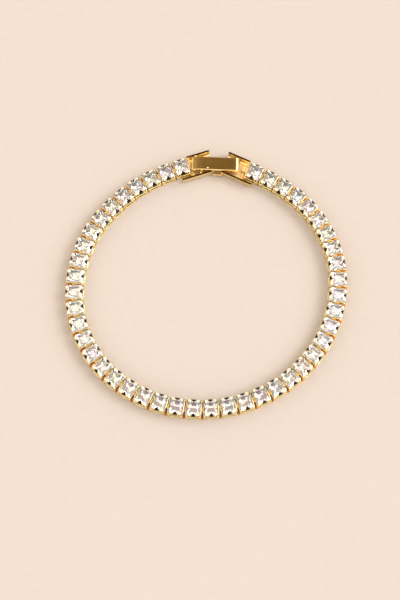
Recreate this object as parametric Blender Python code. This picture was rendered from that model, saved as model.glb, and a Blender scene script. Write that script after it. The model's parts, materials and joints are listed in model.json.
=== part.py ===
"""A tennis bracelet: 45 pierced box settings with square stones, closed by a fold-over clasp.

Metres, +Z up. The bracelet lies on z = 0 with its stones up. The chain runs counter-clockwise from
the left end tray round to the right one, and the clasp's bar lies over both trays at +Y.
"""

import math

import bmesh
import bpy
from mathutils import Matrix, Vector

MM = 0.001

# The chain
LINK_COUNT = 45
PITCH = 3.65 * MM

# The route of the row of stones, from the first link to the last, chosen by hand as drawn at full size
ROUTE_MM = [
    (-5.78, 27.53),
    (-18.2, 20.7),
    (-26.8, 9.1),
    (-28.5, -5.3),
    (-22.4, -18.3),
    (-10.3, -26.2),
    (4.1, -27.1),
    (17.3, -21.2),
    (26.2, -9.8),
    (28.3, 4.4),
    (22.5, 17.6),
    (10.62, 26.34),
]
ROUTE_START_DEG = 198.0
ROUTE_END_DEG = 154.5
ROUTE_STEPS = 60

# The stone
STONE_SIZE = 3.0 * MM
STONE_CORNER = 0.15 * MM
STONE_TABLE = 1.9 * MM
TABLE_CORNER = 0.1 * MM
GIRDLE_HEIGHT = 1.95 * MM
CROWN_HEIGHT = 0.53 * MM
PAVILION_DEPTH = 1.3 * MM

# One setting, whose side walls stand out past the stone by the rim
LINK_LENGTH = 3.2 * MM
SIDE_RIM = 0.575 * MM
LINK_WIDTH = STONE_SIZE + 2 * SIDE_RIM
SIDE_WALL = 0.4 * MM
END_WALL = 0.45 * MM
GALLERY_TOP = 1.55 * MM
WINDOW_LENGTH = 1.7 * MM
WINDOW_LOW = 0.5 * MM
WINDOW_HIGH = 0.95 * MM
EAR_WIDTH = 2.6 * MM

# The bar at one end of each setting, and the tongue of the next setting that hooks round it
BAR_LOW = 0.33 * MM
BAR_HIGH = 0.8 * MM
TONGUE_WIDTH = 1.2 * MM
TONGUE_THICKNESS = 0.2 * MM
TONGUE_CLEARANCE = 0.1 * MM
TONGUE_PLAY = 0.22 * MM

# The four prongs, placed from the edge of the stone that they hold
PRONG_SPREAD = 0.86 * MM
PRONG_FOOT = (0.55 * MM, 0.4 * MM)
PRONG_HEAD = (0.4 * MM, 0.38 * MM)
PRONG_FOOT_OUTSIDE = 0.325 * MM
PRONG_HEAD_INSIDE = 0.175 * MM
PRONG_TOP = 2.56 * MM

# The end trays
TRAY_OUTER_SIDE = 2.15 * MM
TRAY_INNER_SIDE = 3.15 * MM
TRAY_WALL = 0.35 * MM
TRAY_FLOOR = 0.35 * MM
TRAY_HEIGHT = 1.85 * MM
TRAY_REACH = 3.15 * MM
OUTER_WALL_EXTRA = 0.45 * MM
TRAY_GAP = 0.3 * MM
INNER_WALL_OVERLAP = 2.15 * MM
LEDGE_CLEARANCE = 0.225 * MM
ROOT_THICKNESS = 0.35 * MM

# The clasp, whose two ends sit this far inside the trays
HOOK_INSET = 2.82 * MM
HINGE_INSET = 2.27 * MM
HINGE_OFFSET = 0.1 * MM
LIFT = 0.15 * MM
LEAF_THICKNESS = 0.35 * MM
LEAF_WIDTH = 1.4 * MM
LEAF_HINGE_WIDTH = 1.6 * MM
WING_WIDTH = 2.9 * MM
WING_LENGTH = 0.9 * MM
HOOK_PIN_RADIUS = 0.28 * MM
HOOK_CLEARANCE = 0.17 * MM
HOOK_THICKNESS = 0.35 * MM
HOOK_RISE = 1.3 * MM
RIVET_BACK = 1.4 * MM
RIVET_RADIUS = 0.35 * MM
RIVET_HEAD_RADIUS = 0.6 * MM
RIVET_HEAD = 0.25 * MM
RIVET_PLAY = 0.15 * MM
EYE_RIM = 0.35 * MM

# The lever and its hinge
HINGE_AHEAD = 0.2 * MM
HINGE_HEIGHT = 1.5 * MM
HINGE_PIN_RADIUS = 0.28 * MM
HINGE_PLAY = 0.13 * MM
LUG_THICKNESS = 0.35 * MM
LUG_RADIUS = 0.5 * MM
LUG_PLAY = 0.15 * MM
LUG_BACK = 0.4 * MM
LUG_FRONT = 0.3 * MM
PIN_STANDS_OUT = 0.1 * MM
LEVER_TOP = 2.6 * MM
LEVER_THICKNESS = 0.3 * MM
LEVER_WIDTH = 3.07 * MM
LEVER_PAST_HOOK = 1.54 * MM
LEVER_PAST_HINGE = 0.71 * MM
LEVER_LIP = 0.6 * MM
LEVER_END_ROUND = 0.5 * MM
LEVER_NOSE_DROP = 0.5 * MM
LEVER_NOSE_RUN = 1.3 * MM
RIB_LENGTH = 0.6 * MM
RIB_CLEARANCE = 0.17 * MM

ROUND_SIDES = 12
ARC_STEPS = 4
SMOOTH_BELOW_DEG = 35.0
EMBED = 0.1 * MM


# Plain solids, all given in metres


def new_object(name, mesh):
    obj = bpy.data.objects.new(name, mesh)
    bpy.context.scene.collection.objects.link(obj)
    return obj


def prism(name, outline, low, high, axes="xyz"):
    """A prism: the outline lies in the first two axes and is extruded along the third."""
    order = ["xyz".index(axis) for axis in axes]
    mesh_data = bmesh.new()
    rings = []
    for level in (low, high):
        ring = []
        for first, second in outline:
            point = [0.0, 0.0, 0.0]
            point[order[0]], point[order[1]], point[order[2]] = first, second, level
            ring.append(mesh_data.verts.new(point))
        rings.append(ring)
    bridge(mesh_data, rings)
    return finish(name, mesh_data)


def bridge(mesh_data, rings):
    """Skins a stack of rings of equal length and caps both ends."""
    for lower, upper in zip(rings, rings[1:]):
        for i in range(len(lower)):
            j = (i + 1) % len(lower)
            mesh_data.faces.new((lower[i], lower[j], upper[j], upper[i]))
    mesh_data.faces.new(rings[0])
    mesh_data.faces.new(rings[-1])


def finish(name, mesh_data):
    bmesh.ops.recalc_face_normals(mesh_data, faces=mesh_data.faces)
    mesh = bpy.data.meshes.new(name)
    mesh_data.to_mesh(mesh)
    mesh_data.free()
    return new_object(name, mesh)


def box(name, low, high):
    corners = [(low[0], low[1]), (high[0], low[1]), (high[0], high[1]), (low[0], high[1])]
    return prism(name, corners, low[2], high[2])


def circle(centre, radius, sides=ROUND_SIDES):
    turns = [2 * math.pi * (i + 0.5) / sides for i in range(sides)]
    return [(centre[0] + radius * math.cos(t), centre[1] + radius * math.sin(t)) for t in turns]


def combine(base, others, operation):
    """Joins or cuts the other solids into the base, one after another, and removes them."""
    for other in others:
        other.hide_render = True
        other.display_type = "WIRE"
        modifier = base.modifiers.new(operation.title(), "BOOLEAN")
        modifier.operation = operation
        modifier.object = other
        graph = bpy.context.evaluated_depsgraph_get()
        result = bpy.data.meshes.new_from_object(base.evaluated_get(graph))
        base.modifiers.clear()
        base.data = result
        bpy.data.objects.remove(other, do_unlink=True)
    return base


def join(base, *others):
    return combine(base, others, "UNION")


def cut(base, *others):
    return combine(base, others, "DIFFERENCE")


def dress(obj, material):
    """Gives the object its material and smooth shading with sharp bends kept."""
    obj.data.materials.clear()
    obj.data.materials.append(material)
    obj.data.shade_smooth()
    obj.data.set_sharp_from_angle(angle=math.radians(SMOOTH_BELOW_DEG))
    return obj


def metal(name, colour, roughness):
    material = bpy.data.materials.new(name)
    material.use_nodes = True
    shader = material.node_tree.nodes["Principled BSDF"]
    shader.inputs["Base Color"].default_value = (*colour, 1)
    shader.inputs["Metallic"].default_value = 1.0
    shader.inputs["Roughness"].default_value = roughness
    return material


def gem(name, colour):
    material = bpy.data.materials.new(name)
    material.use_nodes = True
    shader = material.node_tree.nodes["Principled BSDF"]
    shader.inputs["Base Color"].default_value = (*colour, 1)
    shader.inputs["Roughness"].default_value = 0.03
    shader.inputs["IOR"].default_value = 2.15
    return material


# The route


def hermite(start, end, start_slope, end_slope, t):
    """A point of the cubic between two route points."""
    return (
        start * (2 * t**3 - 3 * t**2 + 1)
        + start_slope * (t**3 - 2 * t**2 + t)
        + end * (3 * t**2 - 2 * t**3)
        + end_slope * (t**3 - t**2)
    )


def heading(degrees):
    return Vector((math.cos(math.radians(degrees)), math.sin(math.radians(degrees)), 0))


def route_points():
    """The smooth curve through the route, finely divided, sized to carry the links at their pitch."""
    knots = [Vector((x, y, 0)) * MM for x, y in ROUTE_MM]
    slopes = [(after - before) / 2 for before, after in zip(knots, knots[2:])]
    first = heading(ROUTE_START_DEG) * (knots[1] - knots[0]).length
    last = heading(ROUTE_END_DEG) * (knots[-1] - knots[-2]).length
    slopes = [first, *slopes, last]
    fine = [
        hermite(knots[i], knots[i + 1], slopes[i], slopes[i + 1], step / ROUTE_STEPS)
        for i in range(len(knots) - 1)
        for step in range(ROUTE_STEPS)
    ]
    fine.append(knots[-1])
    length = sum((b - a).length for a, b in zip(fine, fine[1:]))
    size = PITCH * (LINK_COUNT - 1) / length
    return [point * size for point in fine]


def frame_at(origin, direction):
    """A frame with local x along the direction, y to its left and z up."""
    along = direction.normalized()
    across = Vector((0, 0, 1)).cross(along)
    turn = Matrix((along, across, (0, 0, 1))).transposed().to_4x4()
    return Matrix.Translation(origin) @ turn


def link_frames():
    """The frame of each link: its x runs along the chain and its y points into the loop."""
    points = route_points()
    frames = []
    travelled = 0.0
    for before, after in zip(points, points[1:]):
        step = (after - before).length
        while len(frames) < LINK_COUNT - 1 and travelled + step >= PITCH * len(frames):
            share = (PITCH * len(frames) - travelled) / step
            frames.append(frame_at(before.lerp(after, share), after - before))
        travelled += step
    frames.append(frame_at(points[-1], heading(ROUTE_END_DEG)))
    frames[0] = frame_at(points[0], heading(ROUTE_START_DEG))
    return frames


# One link


def octagon(size, corner):
    half = size / 2
    near = half - corner
    return [
        (half, -near),
        (half, near),
        (near, half),
        (-near, half),
        (-half, near),
        (-half, -near),
        (-near, -half),
        (near, -half),
    ]


def stone():
    """A square stone with cut corners: a table, eight crown facets and eight pavilion facets."""
    mesh_data = bmesh.new()
    outlines = [
        (octagon(STONE_SIZE, STONE_CORNER), GIRDLE_HEIGHT),
        (octagon(STONE_TABLE, TABLE_CORNER), GIRDLE_HEIGHT + CROWN_HEIGHT),
    ]
    girdle, table = [[mesh_data.verts.new((x, y, z)) for x, y in ring] for ring, z in outlines]
    culet = mesh_data.verts.new((0, 0, GIRDLE_HEIGHT - PAVILION_DEPTH))
    mesh_data.faces.new(table)
    for i in range(len(girdle)):
        j = (i + 1) % len(girdle)
        mesh_data.faces.new((girdle[i], girdle[j], table[j], table[i]))
        mesh_data.faces.new((girdle[j], girdle[i], culet))
    return finish("stone", mesh_data)


def prong(side_x, side_y):
    """A prong that rises from the side wall, leans over the stone and ends in a blunt head."""
    edge = STONE_SIZE / 2
    mesh_data = bmesh.new()
    levels = [
        (PRONG_FOOT, edge + PRONG_FOOT_OUTSIDE, GALLERY_TOP - EMBED),
        (PRONG_HEAD, edge - PRONG_HEAD_INSIDE, PRONG_TOP),
    ]
    rings = []
    for (long, wide), y, z in levels:
        corners = [(-long, -wide), (long, -wide), (long, wide), (-long, wide)]
        rings.append(
            [
                mesh_data.verts.new((side_x * PRONG_SPREAD + dx / 2, side_y * y + dy / 2, z))
                for dx, dy in corners
            ]
        )
    bridge(mesh_data, rings)
    return finish("prong", mesh_data)


def bar_span():
    """The two x limits of the bar that a tongue hooks round."""
    return -LINK_LENGTH / 2, -LINK_LENGTH / 2 + END_WALL


def tongue():
    """The strap that leaves the far end, passes the next setting's bar and comes back beneath it."""
    root = LINK_LENGTH / 2 - END_WALL / 2
    low = BAR_LOW - TONGUE_CLEARANCE
    high = BAR_HIGH + TONGUE_CLEARANCE
    inner = PITCH + bar_span()[1] + TONGUE_PLAY
    outer = inner + TONGUE_THICKNESS
    under = low - TONGUE_THICKNESS
    over = high + TONGUE_THICKNESS
    outline = [
        (root, under),
        (outer, under),
        (outer, over),
        (root, over),
        (root, high),
        (inner, high),
        (inner, low),
        (root, low),
    ]
    return prism("tongue", outline, -TONGUE_WIDTH / 2, TONGUE_WIDTH / 2, "xzy")


def link_mesh(gold, stone_material):
    """The setting with its stone: pierced side walls, ear for the tongue, prongs and tongue."""
    half_length = LINK_LENGTH / 2
    half_width = LINK_WIDTH / 2
    body = box("link", (-half_length, -half_width, 0), (half_length, half_width, GALLERY_TOP))
    body.data.materials.append(gold)
    hole_x = half_length - END_WALL
    hole_y = half_width - SIDE_WALL
    cut(
        body,
        box("basket", (-hole_x, -hole_y, -EMBED), (hole_x, hole_y, GALLERY_TOP + EMBED)),
        box(
            "window",
            (-WINDOW_LENGTH / 2, -LINK_WIDTH, WINDOW_LOW),
            (WINDOW_LENGTH / 2, LINK_WIDTH, WINDOW_HIGH),
        ),
        box(
            "under_bar",
            (-LINK_LENGTH, -EAR_WIDTH / 2, -EMBED),
            (-hole_x + EMBED, EAR_WIDTH / 2, BAR_LOW),
        ),
        box(
            "over_bar",
            (-LINK_LENGTH, -EAR_WIDTH / 2, BAR_HIGH),
            (-hole_x + EMBED, EAR_WIDTH / 2, GALLERY_TOP + EMBED),
        ),
    )
    gemstone = stone()
    gemstone.data.materials.append(stone_material)
    join(body, tongue())
    join(body, *[prong(sx, sy) for sx in (-1, 1) for sy in (-1, 1)])
    join(body, gemstone)
    return body


# The end trays, drawn in the frame of a link that would stand one pitch past the chain's end


def tray(name, toward_chain):
    """The floor and two side walls; the wall inside the loop runs on beside the last link."""
    chain_end = PITCH - LINK_LENGTH / 2
    reach = -toward_chain * TRAY_REACH
    outer_reach = -toward_chain * (TRAY_REACH + OUTER_WALL_EXTRA)
    wall_end = toward_chain * (chain_end - TRAY_GAP)
    floor_end = toward_chain * floor_reach(toward_chain)
    long_end = toward_chain * (chain_end + INNER_WALL_OVERLAP)

    def span(start, end, y_low, y_high, z_high, piece):
        return box(piece, (min(start, end), y_low, 0), (max(start, end), y_high, z_high))

    ledge_y = LINK_WIDTH / 2 + LEDGE_CLEARANCE
    body = span(reach, floor_end, -TRAY_OUTER_SIDE, TRAY_INNER_SIDE, TRAY_FLOOR, name)
    outer_inner_face = -TRAY_OUTER_SIDE + TRAY_WALL
    inner_inner_face = TRAY_INNER_SIDE - TRAY_WALL
    return join(
        body,
        span(outer_reach, wall_end, -TRAY_OUTER_SIDE, outer_inner_face, TRAY_HEIGHT, "outer_wall"),
        span(reach, long_end, inner_inner_face, TRAY_INNER_SIDE, TRAY_HEIGHT, "inner_wall"),
        span(reach, long_end, ledge_y, TRAY_INNER_SIDE, TRAY_FLOOR, "ledge"),
    )


def floor_reach(toward_chain):
    """How far the floor runs towards the chain: to the tongue's root, or short of the last tongue."""
    if toward_chain > 0:
        return LINK_LENGTH / 2
    return -(bar_span()[1] + TONGUE_PLAY + TONGUE_THICKNESS + TONGUE_PLAY)


def left_tray(place, hook):
    """The tray with a tongue for the first link and a cross pin for the clasp's hook."""
    root_end = LINK_LENGTH / 2
    root_high = BAR_HIGH + TONGUE_CLEARANCE + TONGUE_THICKNESS
    body = tray("tray_left", 1)
    pin_x = (place.inverted() @ hook).x
    pin = prism(
        "cross_pin",
        circle((pin_x, hook_pin_height()), HOOK_PIN_RADIUS),
        -TRAY_OUTER_SIDE + TRAY_WALL / 2,
        TRAY_INNER_SIDE - TRAY_WALL / 2,
        "xzy",
    )
    root = box(
        "root",
        (root_end - ROOT_THICKNESS, -TRAY_OUTER_SIDE + TRAY_WALL / 2, TRAY_FLOOR / 2),
        (root_end, TRAY_INNER_SIDE - TRAY_WALL / 2, root_high),
    )
    join(body, root, tongue(), pin)
    body.matrix_world = place
    return body


def right_tray(place, rivet):
    """The tray with a bar for the last link's tongue and a rivet that the clasp swings on."""
    body = tray("tray_right", -1)
    low_x, high_x = bar_span()
    bar = box(
        "bar",
        (low_x, -TRAY_OUTER_SIDE + TRAY_WALL / 2, BAR_LOW),
        (high_x, TRAY_INNER_SIDE - TRAY_WALL / 2, BAR_HIGH),
    )
    centre = place.inverted() @ rivet
    shank_top = leaf_top() + RIVET_PLAY
    shank = prism("shank", circle(centre, RIVET_RADIUS), TRAY_FLOOR / 2, shank_top + EMBED)
    head = prism("head", circle(centre, RIVET_HEAD_RADIUS), shank_top, shank_top + RIVET_HEAD)
    join(body, bar, shank, head)
    body.matrix_world = place
    return body


# The clasp, drawn in a frame whose x runs from the hook to the hinge


def leaf_low():
    return TRAY_FLOOR + LIFT


def leaf_top():
    return leaf_low() + LEAF_THICKNESS


def hook_pin_height():
    return leaf_top() + HOOK_CLEARANCE + HOOK_PIN_RADIUS


def clasp_base(place, span, skew, middle):
    """The leaf under the bar: hook at one end, eye for the rivet, wing between the trays, two lugs."""
    hinge_x = span + HINGE_AHEAD
    rivet_x = span - RIVET_BACK
    half = LEAF_WIDTH / 2
    swing = half * math.tan(skew)
    hook_face = -(HOOK_PIN_RADIUS / math.cos(skew) + swing + HOOK_CLEARANCE)
    body = box(
        "clasp_base",
        (hook_face - HOOK_THICKNESS, -half, leaf_low()),
        (hinge_x - LUG_BACK, half, leaf_top()),
    )
    lug_inner = LEAF_HINGE_WIDTH / 2 - LUG_THICKNESS
    pieces = [
        box(
            "hook",
            (hook_face - HOOK_THICKNESS, -half, leaf_low() + EMBED),
            (hook_face, half, leaf_low() + HOOK_RISE),
        ),
        prism(
            "eye",
            circle((rivet_x, 0), RIVET_RADIUS + RIVET_PLAY + EYE_RIM),
            leaf_low(),
            leaf_top(),
        ),
        box(
            "wing",
            (middle - WING_LENGTH / 2, -WING_WIDTH / 2, leaf_low()),
            (middle + WING_LENGTH / 2, WING_WIDTH / 2, leaf_top()),
        ),
        box(
            "hinge_leaf",
            (hinge_x - LUG_BACK - EMBED, -LEAF_HINGE_WIDTH / 2, leaf_low()),
            (hinge_x + LUG_FRONT, LEAF_HINGE_WIDTH / 2, leaf_top()),
        ),
    ]
    for side in (-1, 1):
        near, far = sorted((side * lug_inner, side * LEAF_HINGE_WIDTH / 2))
        pieces.append(lug("lug", hinge_x, near, far))
    join(body, *pieces)
    hole = prism(
        "rivet_hole",
        circle((rivet_x, 0), RIVET_RADIUS + RIVET_PLAY),
        0,
        leaf_top() + EMBED,
    )
    cut(body, hole, hinge_hole(hinge_x, LEAF_HINGE_WIDTH))
    body.matrix_world = place
    return body


def lug(name, hinge_x, near, far):
    """A plate that stands on the leaf and is rounded about the hinge."""
    turns = [math.pi * i / (2 * ARC_STEPS) for i in range(2 * ARC_STEPS + 1)]
    crown = [
        (hinge_x + LUG_RADIUS * math.cos(t), HINGE_HEIGHT + LUG_RADIUS * math.sin(t))
        for t in turns
    ]
    foot = [(hinge_x - LUG_BACK, leaf_low() + EMBED), (hinge_x + LUG_FRONT, leaf_low() + EMBED)]
    return prism(name, crown + foot, near, far, "xzy")


def hinge_hole(hinge_x, width):
    return prism(
        "hinge_hole",
        circle((hinge_x, HINGE_HEIGHT), HINGE_PIN_RADIUS + HINGE_PLAY),
        -width,
        width,
        "xzy",
    )


def ear_far():
    """How far out from the middle the lever's ears reach."""
    return LEAF_HINGE_WIDTH / 2 + LUG_PLAY + LUG_THICKNESS


def hinge_pin(hinge):
    """The plain round pin through the lugs and the lever's ears."""
    reach = ear_far() + PIN_STANDS_OUT
    body = prism("hinge_pin", circle((0, 0), HINGE_PIN_RADIUS), -reach, reach, "xzy")
    body.matrix_world = hinge
    return body


def lever_profile(hinge_x):
    """The bent strip that the bar is folded from, seen from its side, about the hinge axis."""
    nose = -LEVER_PAST_HOOK - hinge_x
    heel = LEVER_PAST_HINGE
    top = LEVER_TOP - HINGE_HEIGHT
    thickness = LEVER_THICKNESS
    turns = [math.pi / 2 * i / ARC_STEPS for i in range(ARC_STEPS + 1)]
    outer = [
        (nose + LEVER_NOSE_RUN * (1 - math.sin(t)), top - LEVER_NOSE_DROP * (1 - math.cos(t)))
        for t in reversed(turns)
    ]
    inner = [
        (
            nose + thickness + (LEVER_NOSE_RUN - thickness) * (1 - math.sin(t)),
            top - thickness - LEVER_NOSE_DROP * (1 - math.cos(t)),
        )
        for t in turns
    ]
    heel_low = top - LEVER_LIP
    corner = [
        (
            heel - LEVER_END_ROUND * (1 - math.sin(t)),
            top - LEVER_END_ROUND * (1 - math.cos(t)),
        )
        for t in turns
    ]
    inside = [(heel - thickness, heel_low), (heel - thickness, top - thickness)]
    return outer + corner + [(heel, heel_low)] + inside + inner


def clasp_lever(hinge, hinge_x):
    """The flat bar: bent strip, two side lips, two ears on the hinge and a rib over the hook's pin."""
    half = LEVER_WIDTH / 2
    top = LEVER_TOP - HINGE_HEIGHT
    nose = -LEVER_PAST_HOOK - hinge_x
    lip_start = nose + LEVER_NOSE_RUN
    body = prism("clasp_lever", lever_profile(hinge_x), -half, half, "xzy")
    pieces = []
    for side in (-1, 1):
        near, far = sorted((side * (half - LEVER_THICKNESS), side * half))
        pieces.append(
            box(
                "lip",
                (lip_start, near, top - LEVER_LIP),
                (LEVER_PAST_HINGE - LEVER_THICKNESS / 2, far, top - LEVER_THICKNESS / 2),
            )
        )
        near, far = sorted((side * (ear_far() - LUG_THICKNESS), side * ear_far()))
        pieces.append(ear(near, far))
    rib_low = hook_pin_height() + HOOK_PIN_RADIUS + RIB_CLEARANCE - HINGE_HEIGHT
    pieces.append(
        box(
            "rib",
            (-hinge_x - RIB_LENGTH / 2, -LEAF_WIDTH / 2, rib_low),
            (-hinge_x + RIB_LENGTH / 2, LEAF_WIDTH / 2, top - LEVER_THICKNESS / 2),
        )
    )
    join(body, *pieces)
    hole = prism(
        "ear_hole", circle((0, 0), HINGE_PIN_RADIUS + HINGE_PLAY), -half, half, "xzy"
    )
    cut(body, hole)
    body.matrix_world = hinge
    return body


def ear(near, far):
    """An ear that hangs from the bar and is rounded about the hinge."""
    turns = [math.pi + math.pi * i / (2 * ARC_STEPS) for i in range(2 * ARC_STEPS + 1)]
    base = LEVER_TOP - HINGE_HEIGHT - LEVER_THICKNESS / 2
    outline = [(LUG_RADIUS * math.cos(t), LUG_RADIUS * math.sin(t)) for t in turns]
    outline += [(LUG_RADIUS, base), (-LUG_RADIUS, base)]
    return prism("ear", outline, near, far, "xzy")


def centre_on_origin(objects):
    """Moves the whole bracelet so that the middle of its box stands over the origin."""
    bpy.context.view_layer.update()
    points = [obj.matrix_world @ vertex.co for obj in objects for vertex in obj.data.vertices]
    middle = Vector([(min(p[k] for p in points) + max(p[k] for p in points)) / 2 for k in (0, 1)])
    shift = Matrix.Translation((-middle.x, -middle.y, 0))
    for obj in objects:
        obj.matrix_world = shift @ obj.matrix_world


def clear_scene():
    for obj in list(bpy.data.objects):
        bpy.data.objects.remove(obj, do_unlink=True)


def build():
    clear_scene()
    gold = metal("polished_gold_plate", (0.83, 0.55, 0.16), 0.18)
    brushed = metal("brushed_gold_plate", (0.62, 0.45, 0.16), 0.38)
    pin_gold = metal("pin_gold_plate", (0.75, 0.5, 0.17), 0.25)
    crystal = gem("clear_cut_stone", (0.93, 0.93, 0.95))

    frames = link_frames()
    pattern = link_mesh(gold, crystal)
    for number, place in enumerate(frames, 1):
        link = new_object(f"link_{number:02d}", pattern.data)
        link.matrix_world = place
    bpy.data.objects.remove(pattern, do_unlink=True)

    before = frames[0] @ Matrix.Translation((-PITCH, 0, 0))
    after = frames[-1] @ Matrix.Translation((PITCH, 0, 0))
    channel = (TRAY_INNER_SIDE - TRAY_OUTER_SIDE) / 2
    hook = before @ Vector((-TRAY_REACH + HOOK_INSET, channel, 0))
    far_end = after @ Vector((TRAY_REACH - HINGE_INSET, channel - HINGE_OFFSET, 0))
    clasp = frame_at(hook, far_end - hook)
    span = (far_end - hook).length
    hinge_x = span + HINGE_AHEAD
    hinge = clasp @ Matrix.Translation((hinge_x, 0, HINGE_HEIGHT))
    tray_ends = [
        clasp.inverted() @ before @ Vector((-TRAY_REACH, channel, 0)),
        clasp.inverted() @ after @ Vector((TRAY_REACH, channel, 0)),
    ]
    middle = sum(end.x for end in tray_ends) / 2
    skew = (clasp.to_3x3() @ Vector((1, 0, 0))).angle(before.to_3x3() @ Vector((-1, 0, 0)))

    dress(left_tray(before, hook), gold)
    dress(right_tray(after, clasp @ Vector((span - RIVET_BACK, 0, 0))), gold)
    dress(clasp_base(clasp, span, skew, middle), gold)
    dress(hinge_pin(hinge), pin_gold)
    dress(clasp_lever(hinge, hinge_x), brushed)
    centre_on_origin(bpy.context.scene.objects)


build()
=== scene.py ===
"""Looks of a gold plated tennis bracelet with square cut stones and a fold-over clasp.

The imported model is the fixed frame. Each class below dresses one sub-assembly of it: the cut
stones, the box settings, the two end trays, the clasp's bar and the small clasp parts that keep
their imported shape. Lengths in the classes are in millimetres and become metres in the meshes.
"""

from __future__ import annotations

import json
import logging
import math
from collections.abc import Callable, Iterator, Sequence
from contextlib import contextmanager
from dataclasses import dataclass
from enum import Enum, IntEnum
from typing import ClassVar, NamedTuple

import bmesh
import bpy
import numpy as np
from mathutils import Matrix, Vector

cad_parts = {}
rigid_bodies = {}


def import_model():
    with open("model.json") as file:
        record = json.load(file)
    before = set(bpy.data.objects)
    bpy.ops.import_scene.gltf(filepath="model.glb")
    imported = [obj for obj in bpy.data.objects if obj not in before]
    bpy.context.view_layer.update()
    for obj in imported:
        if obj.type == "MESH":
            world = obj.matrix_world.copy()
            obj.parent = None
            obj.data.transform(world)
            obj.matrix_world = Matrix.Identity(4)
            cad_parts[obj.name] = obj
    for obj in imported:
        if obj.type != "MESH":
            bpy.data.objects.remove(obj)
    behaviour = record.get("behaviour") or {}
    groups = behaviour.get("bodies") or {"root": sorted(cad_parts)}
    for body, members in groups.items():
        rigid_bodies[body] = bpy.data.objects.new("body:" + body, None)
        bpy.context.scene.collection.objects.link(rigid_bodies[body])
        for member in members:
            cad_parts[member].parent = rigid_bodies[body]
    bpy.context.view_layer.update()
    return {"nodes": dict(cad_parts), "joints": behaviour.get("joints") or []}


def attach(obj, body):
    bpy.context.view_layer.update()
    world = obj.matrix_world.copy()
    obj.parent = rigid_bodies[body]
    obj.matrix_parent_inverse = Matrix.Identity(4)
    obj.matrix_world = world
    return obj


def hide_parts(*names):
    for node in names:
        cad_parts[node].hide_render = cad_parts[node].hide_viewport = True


LOG = logging.getLogger("tennis_bracelet")
MM = 0.001

# Edges where the faces turn by more than the first are eased, and by more than the second are sharp
EASED_ABOVE_DEG = 50.0
SHARP_ABOVE_DEG = 60.0

# How strongly large faces outweigh small ones where the shading is smoothed: 50 is not at all
FLAT_WEIGHT = 100

# No corner is drawn tighter than this, in millimetres, and no plate smoother than this
LEAST_CORNER = 0.01
LEAST_ROUGHNESS = 0.02

# Heights within this of a packed link's top belong to the heads of its prongs
HEAD_BAND = 0.02 * MM

Point = tuple[float, float, float]
Flat = tuple[float, float]


# Colour and nodes


def linear(hex_colour: str) -> tuple[float, float, float, float]:
    """Turns an sRGB hex colour into linear light.

    Args:
        hex_colour: Six hex digits, with or without a leading hash.

    Returns:
        Red, green, blue and alpha as Blender's sockets take them.
    """
    digits = hex_colour.lstrip("#")
    channels = [int(digits[i : i + 2], 16) / 255 for i in (0, 2, 4)]
    red, green, blue = [c / 12.92 if c <= 0.04045 else ((c + 0.055) / 1.055) ** 2.4 for c in channels]
    return red, green, blue, 1.0


def add_node(
    tree: bpy.types.NodeTree,
    kind: str,
    settings: dict[str, object] | None = None,
    values: dict[str | int, object] | None = None,
    links: dict[str | int, bpy.types.NodeSocket] | None = None,
    stops: Sequence[tuple[float, str]] = (),
) -> bpy.types.Node:
    """Adds one node with its settings and the links that lead into it.

    Args:
        tree: The node tree that gets the node.
        kind: Blender's name for the kind of node.
        settings: The node's own properties.
        values: Fixed values for its input sockets.
        links: Output sockets to join to its input sockets.
        stops: Positions and hex colours, for a colour ramp.

    Returns:
        The new node.
    """
    node = tree.nodes.new(kind)
    for name, value in (settings or {}).items():
        setattr(node, name, value)
    for name, value in (values or {}).items():
        node.inputs[name].default_value = value
    for name, source in (links or {}).items():
        tree.links.new(source, node.inputs[name])
    if stops:
        ramp = node.color_ramp.elements
        while len(ramp) < len(stops):
            ramp.new(1.0)
        for element, (position, colour) in zip(ramp, stops):
            element.position = position
            element.color = linear(colour)
    return node


def new_material(name: str) -> tuple[bpy.types.Material, bpy.types.NodeTree, bpy.types.Node]:
    """Starts a material with its Principled shader.

    Args:
        name: The material's name.

    Returns:
        The material, its node tree and the shader node.
    """
    material = bpy.data.materials.new(name)
    material.use_nodes = True
    tree = material.node_tree
    return material, tree, tree.nodes["Principled BSDF"]


def cloudy_colour(
    tree: bpy.types.NodeTree,
    place: bpy.types.NodeSocket,
    size_mm: float,
    detail: float,
    stops: Sequence[tuple[float, str]],
    roughness: float = 0.5,
) -> bpy.types.NodeSocket:
    """Adds soft clouds of colour.

    Args:
        tree: The material's node tree.
        place: The place on the object.
        size_mm: Size of the clouds.
        detail: How many finer layers the clouds have.
        stops: The colours and where each stands between the clouds' depth and their height.
        roughness: How strong the finer layers are.

    Returns:
        A socket that gives the colour.
    """
    noise = add_node(
        tree,
        "ShaderNodeTexNoise",
        values={"Scale": 1 / (size_mm * MM), "Detail": detail, "Roughness": roughness},
        links={"Vector": place},
    )
    ramp = add_node(tree, "ShaderNodeValToRGB", links={"Fac": noise.outputs["Fac"]}, stops=stops)
    return ramp.outputs["Color"]


# Finishes


class BrushLay(Enum):
    """Which way the fine lines of a metal's finish run, as stretch along x, y and z."""

    NONE = (1.0, 1.0, 1.0)
    ALONG_BAR = (0.05, 1.0, 1.0)
    ROLLED = (0.25, 1.0, 1.0)


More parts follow.
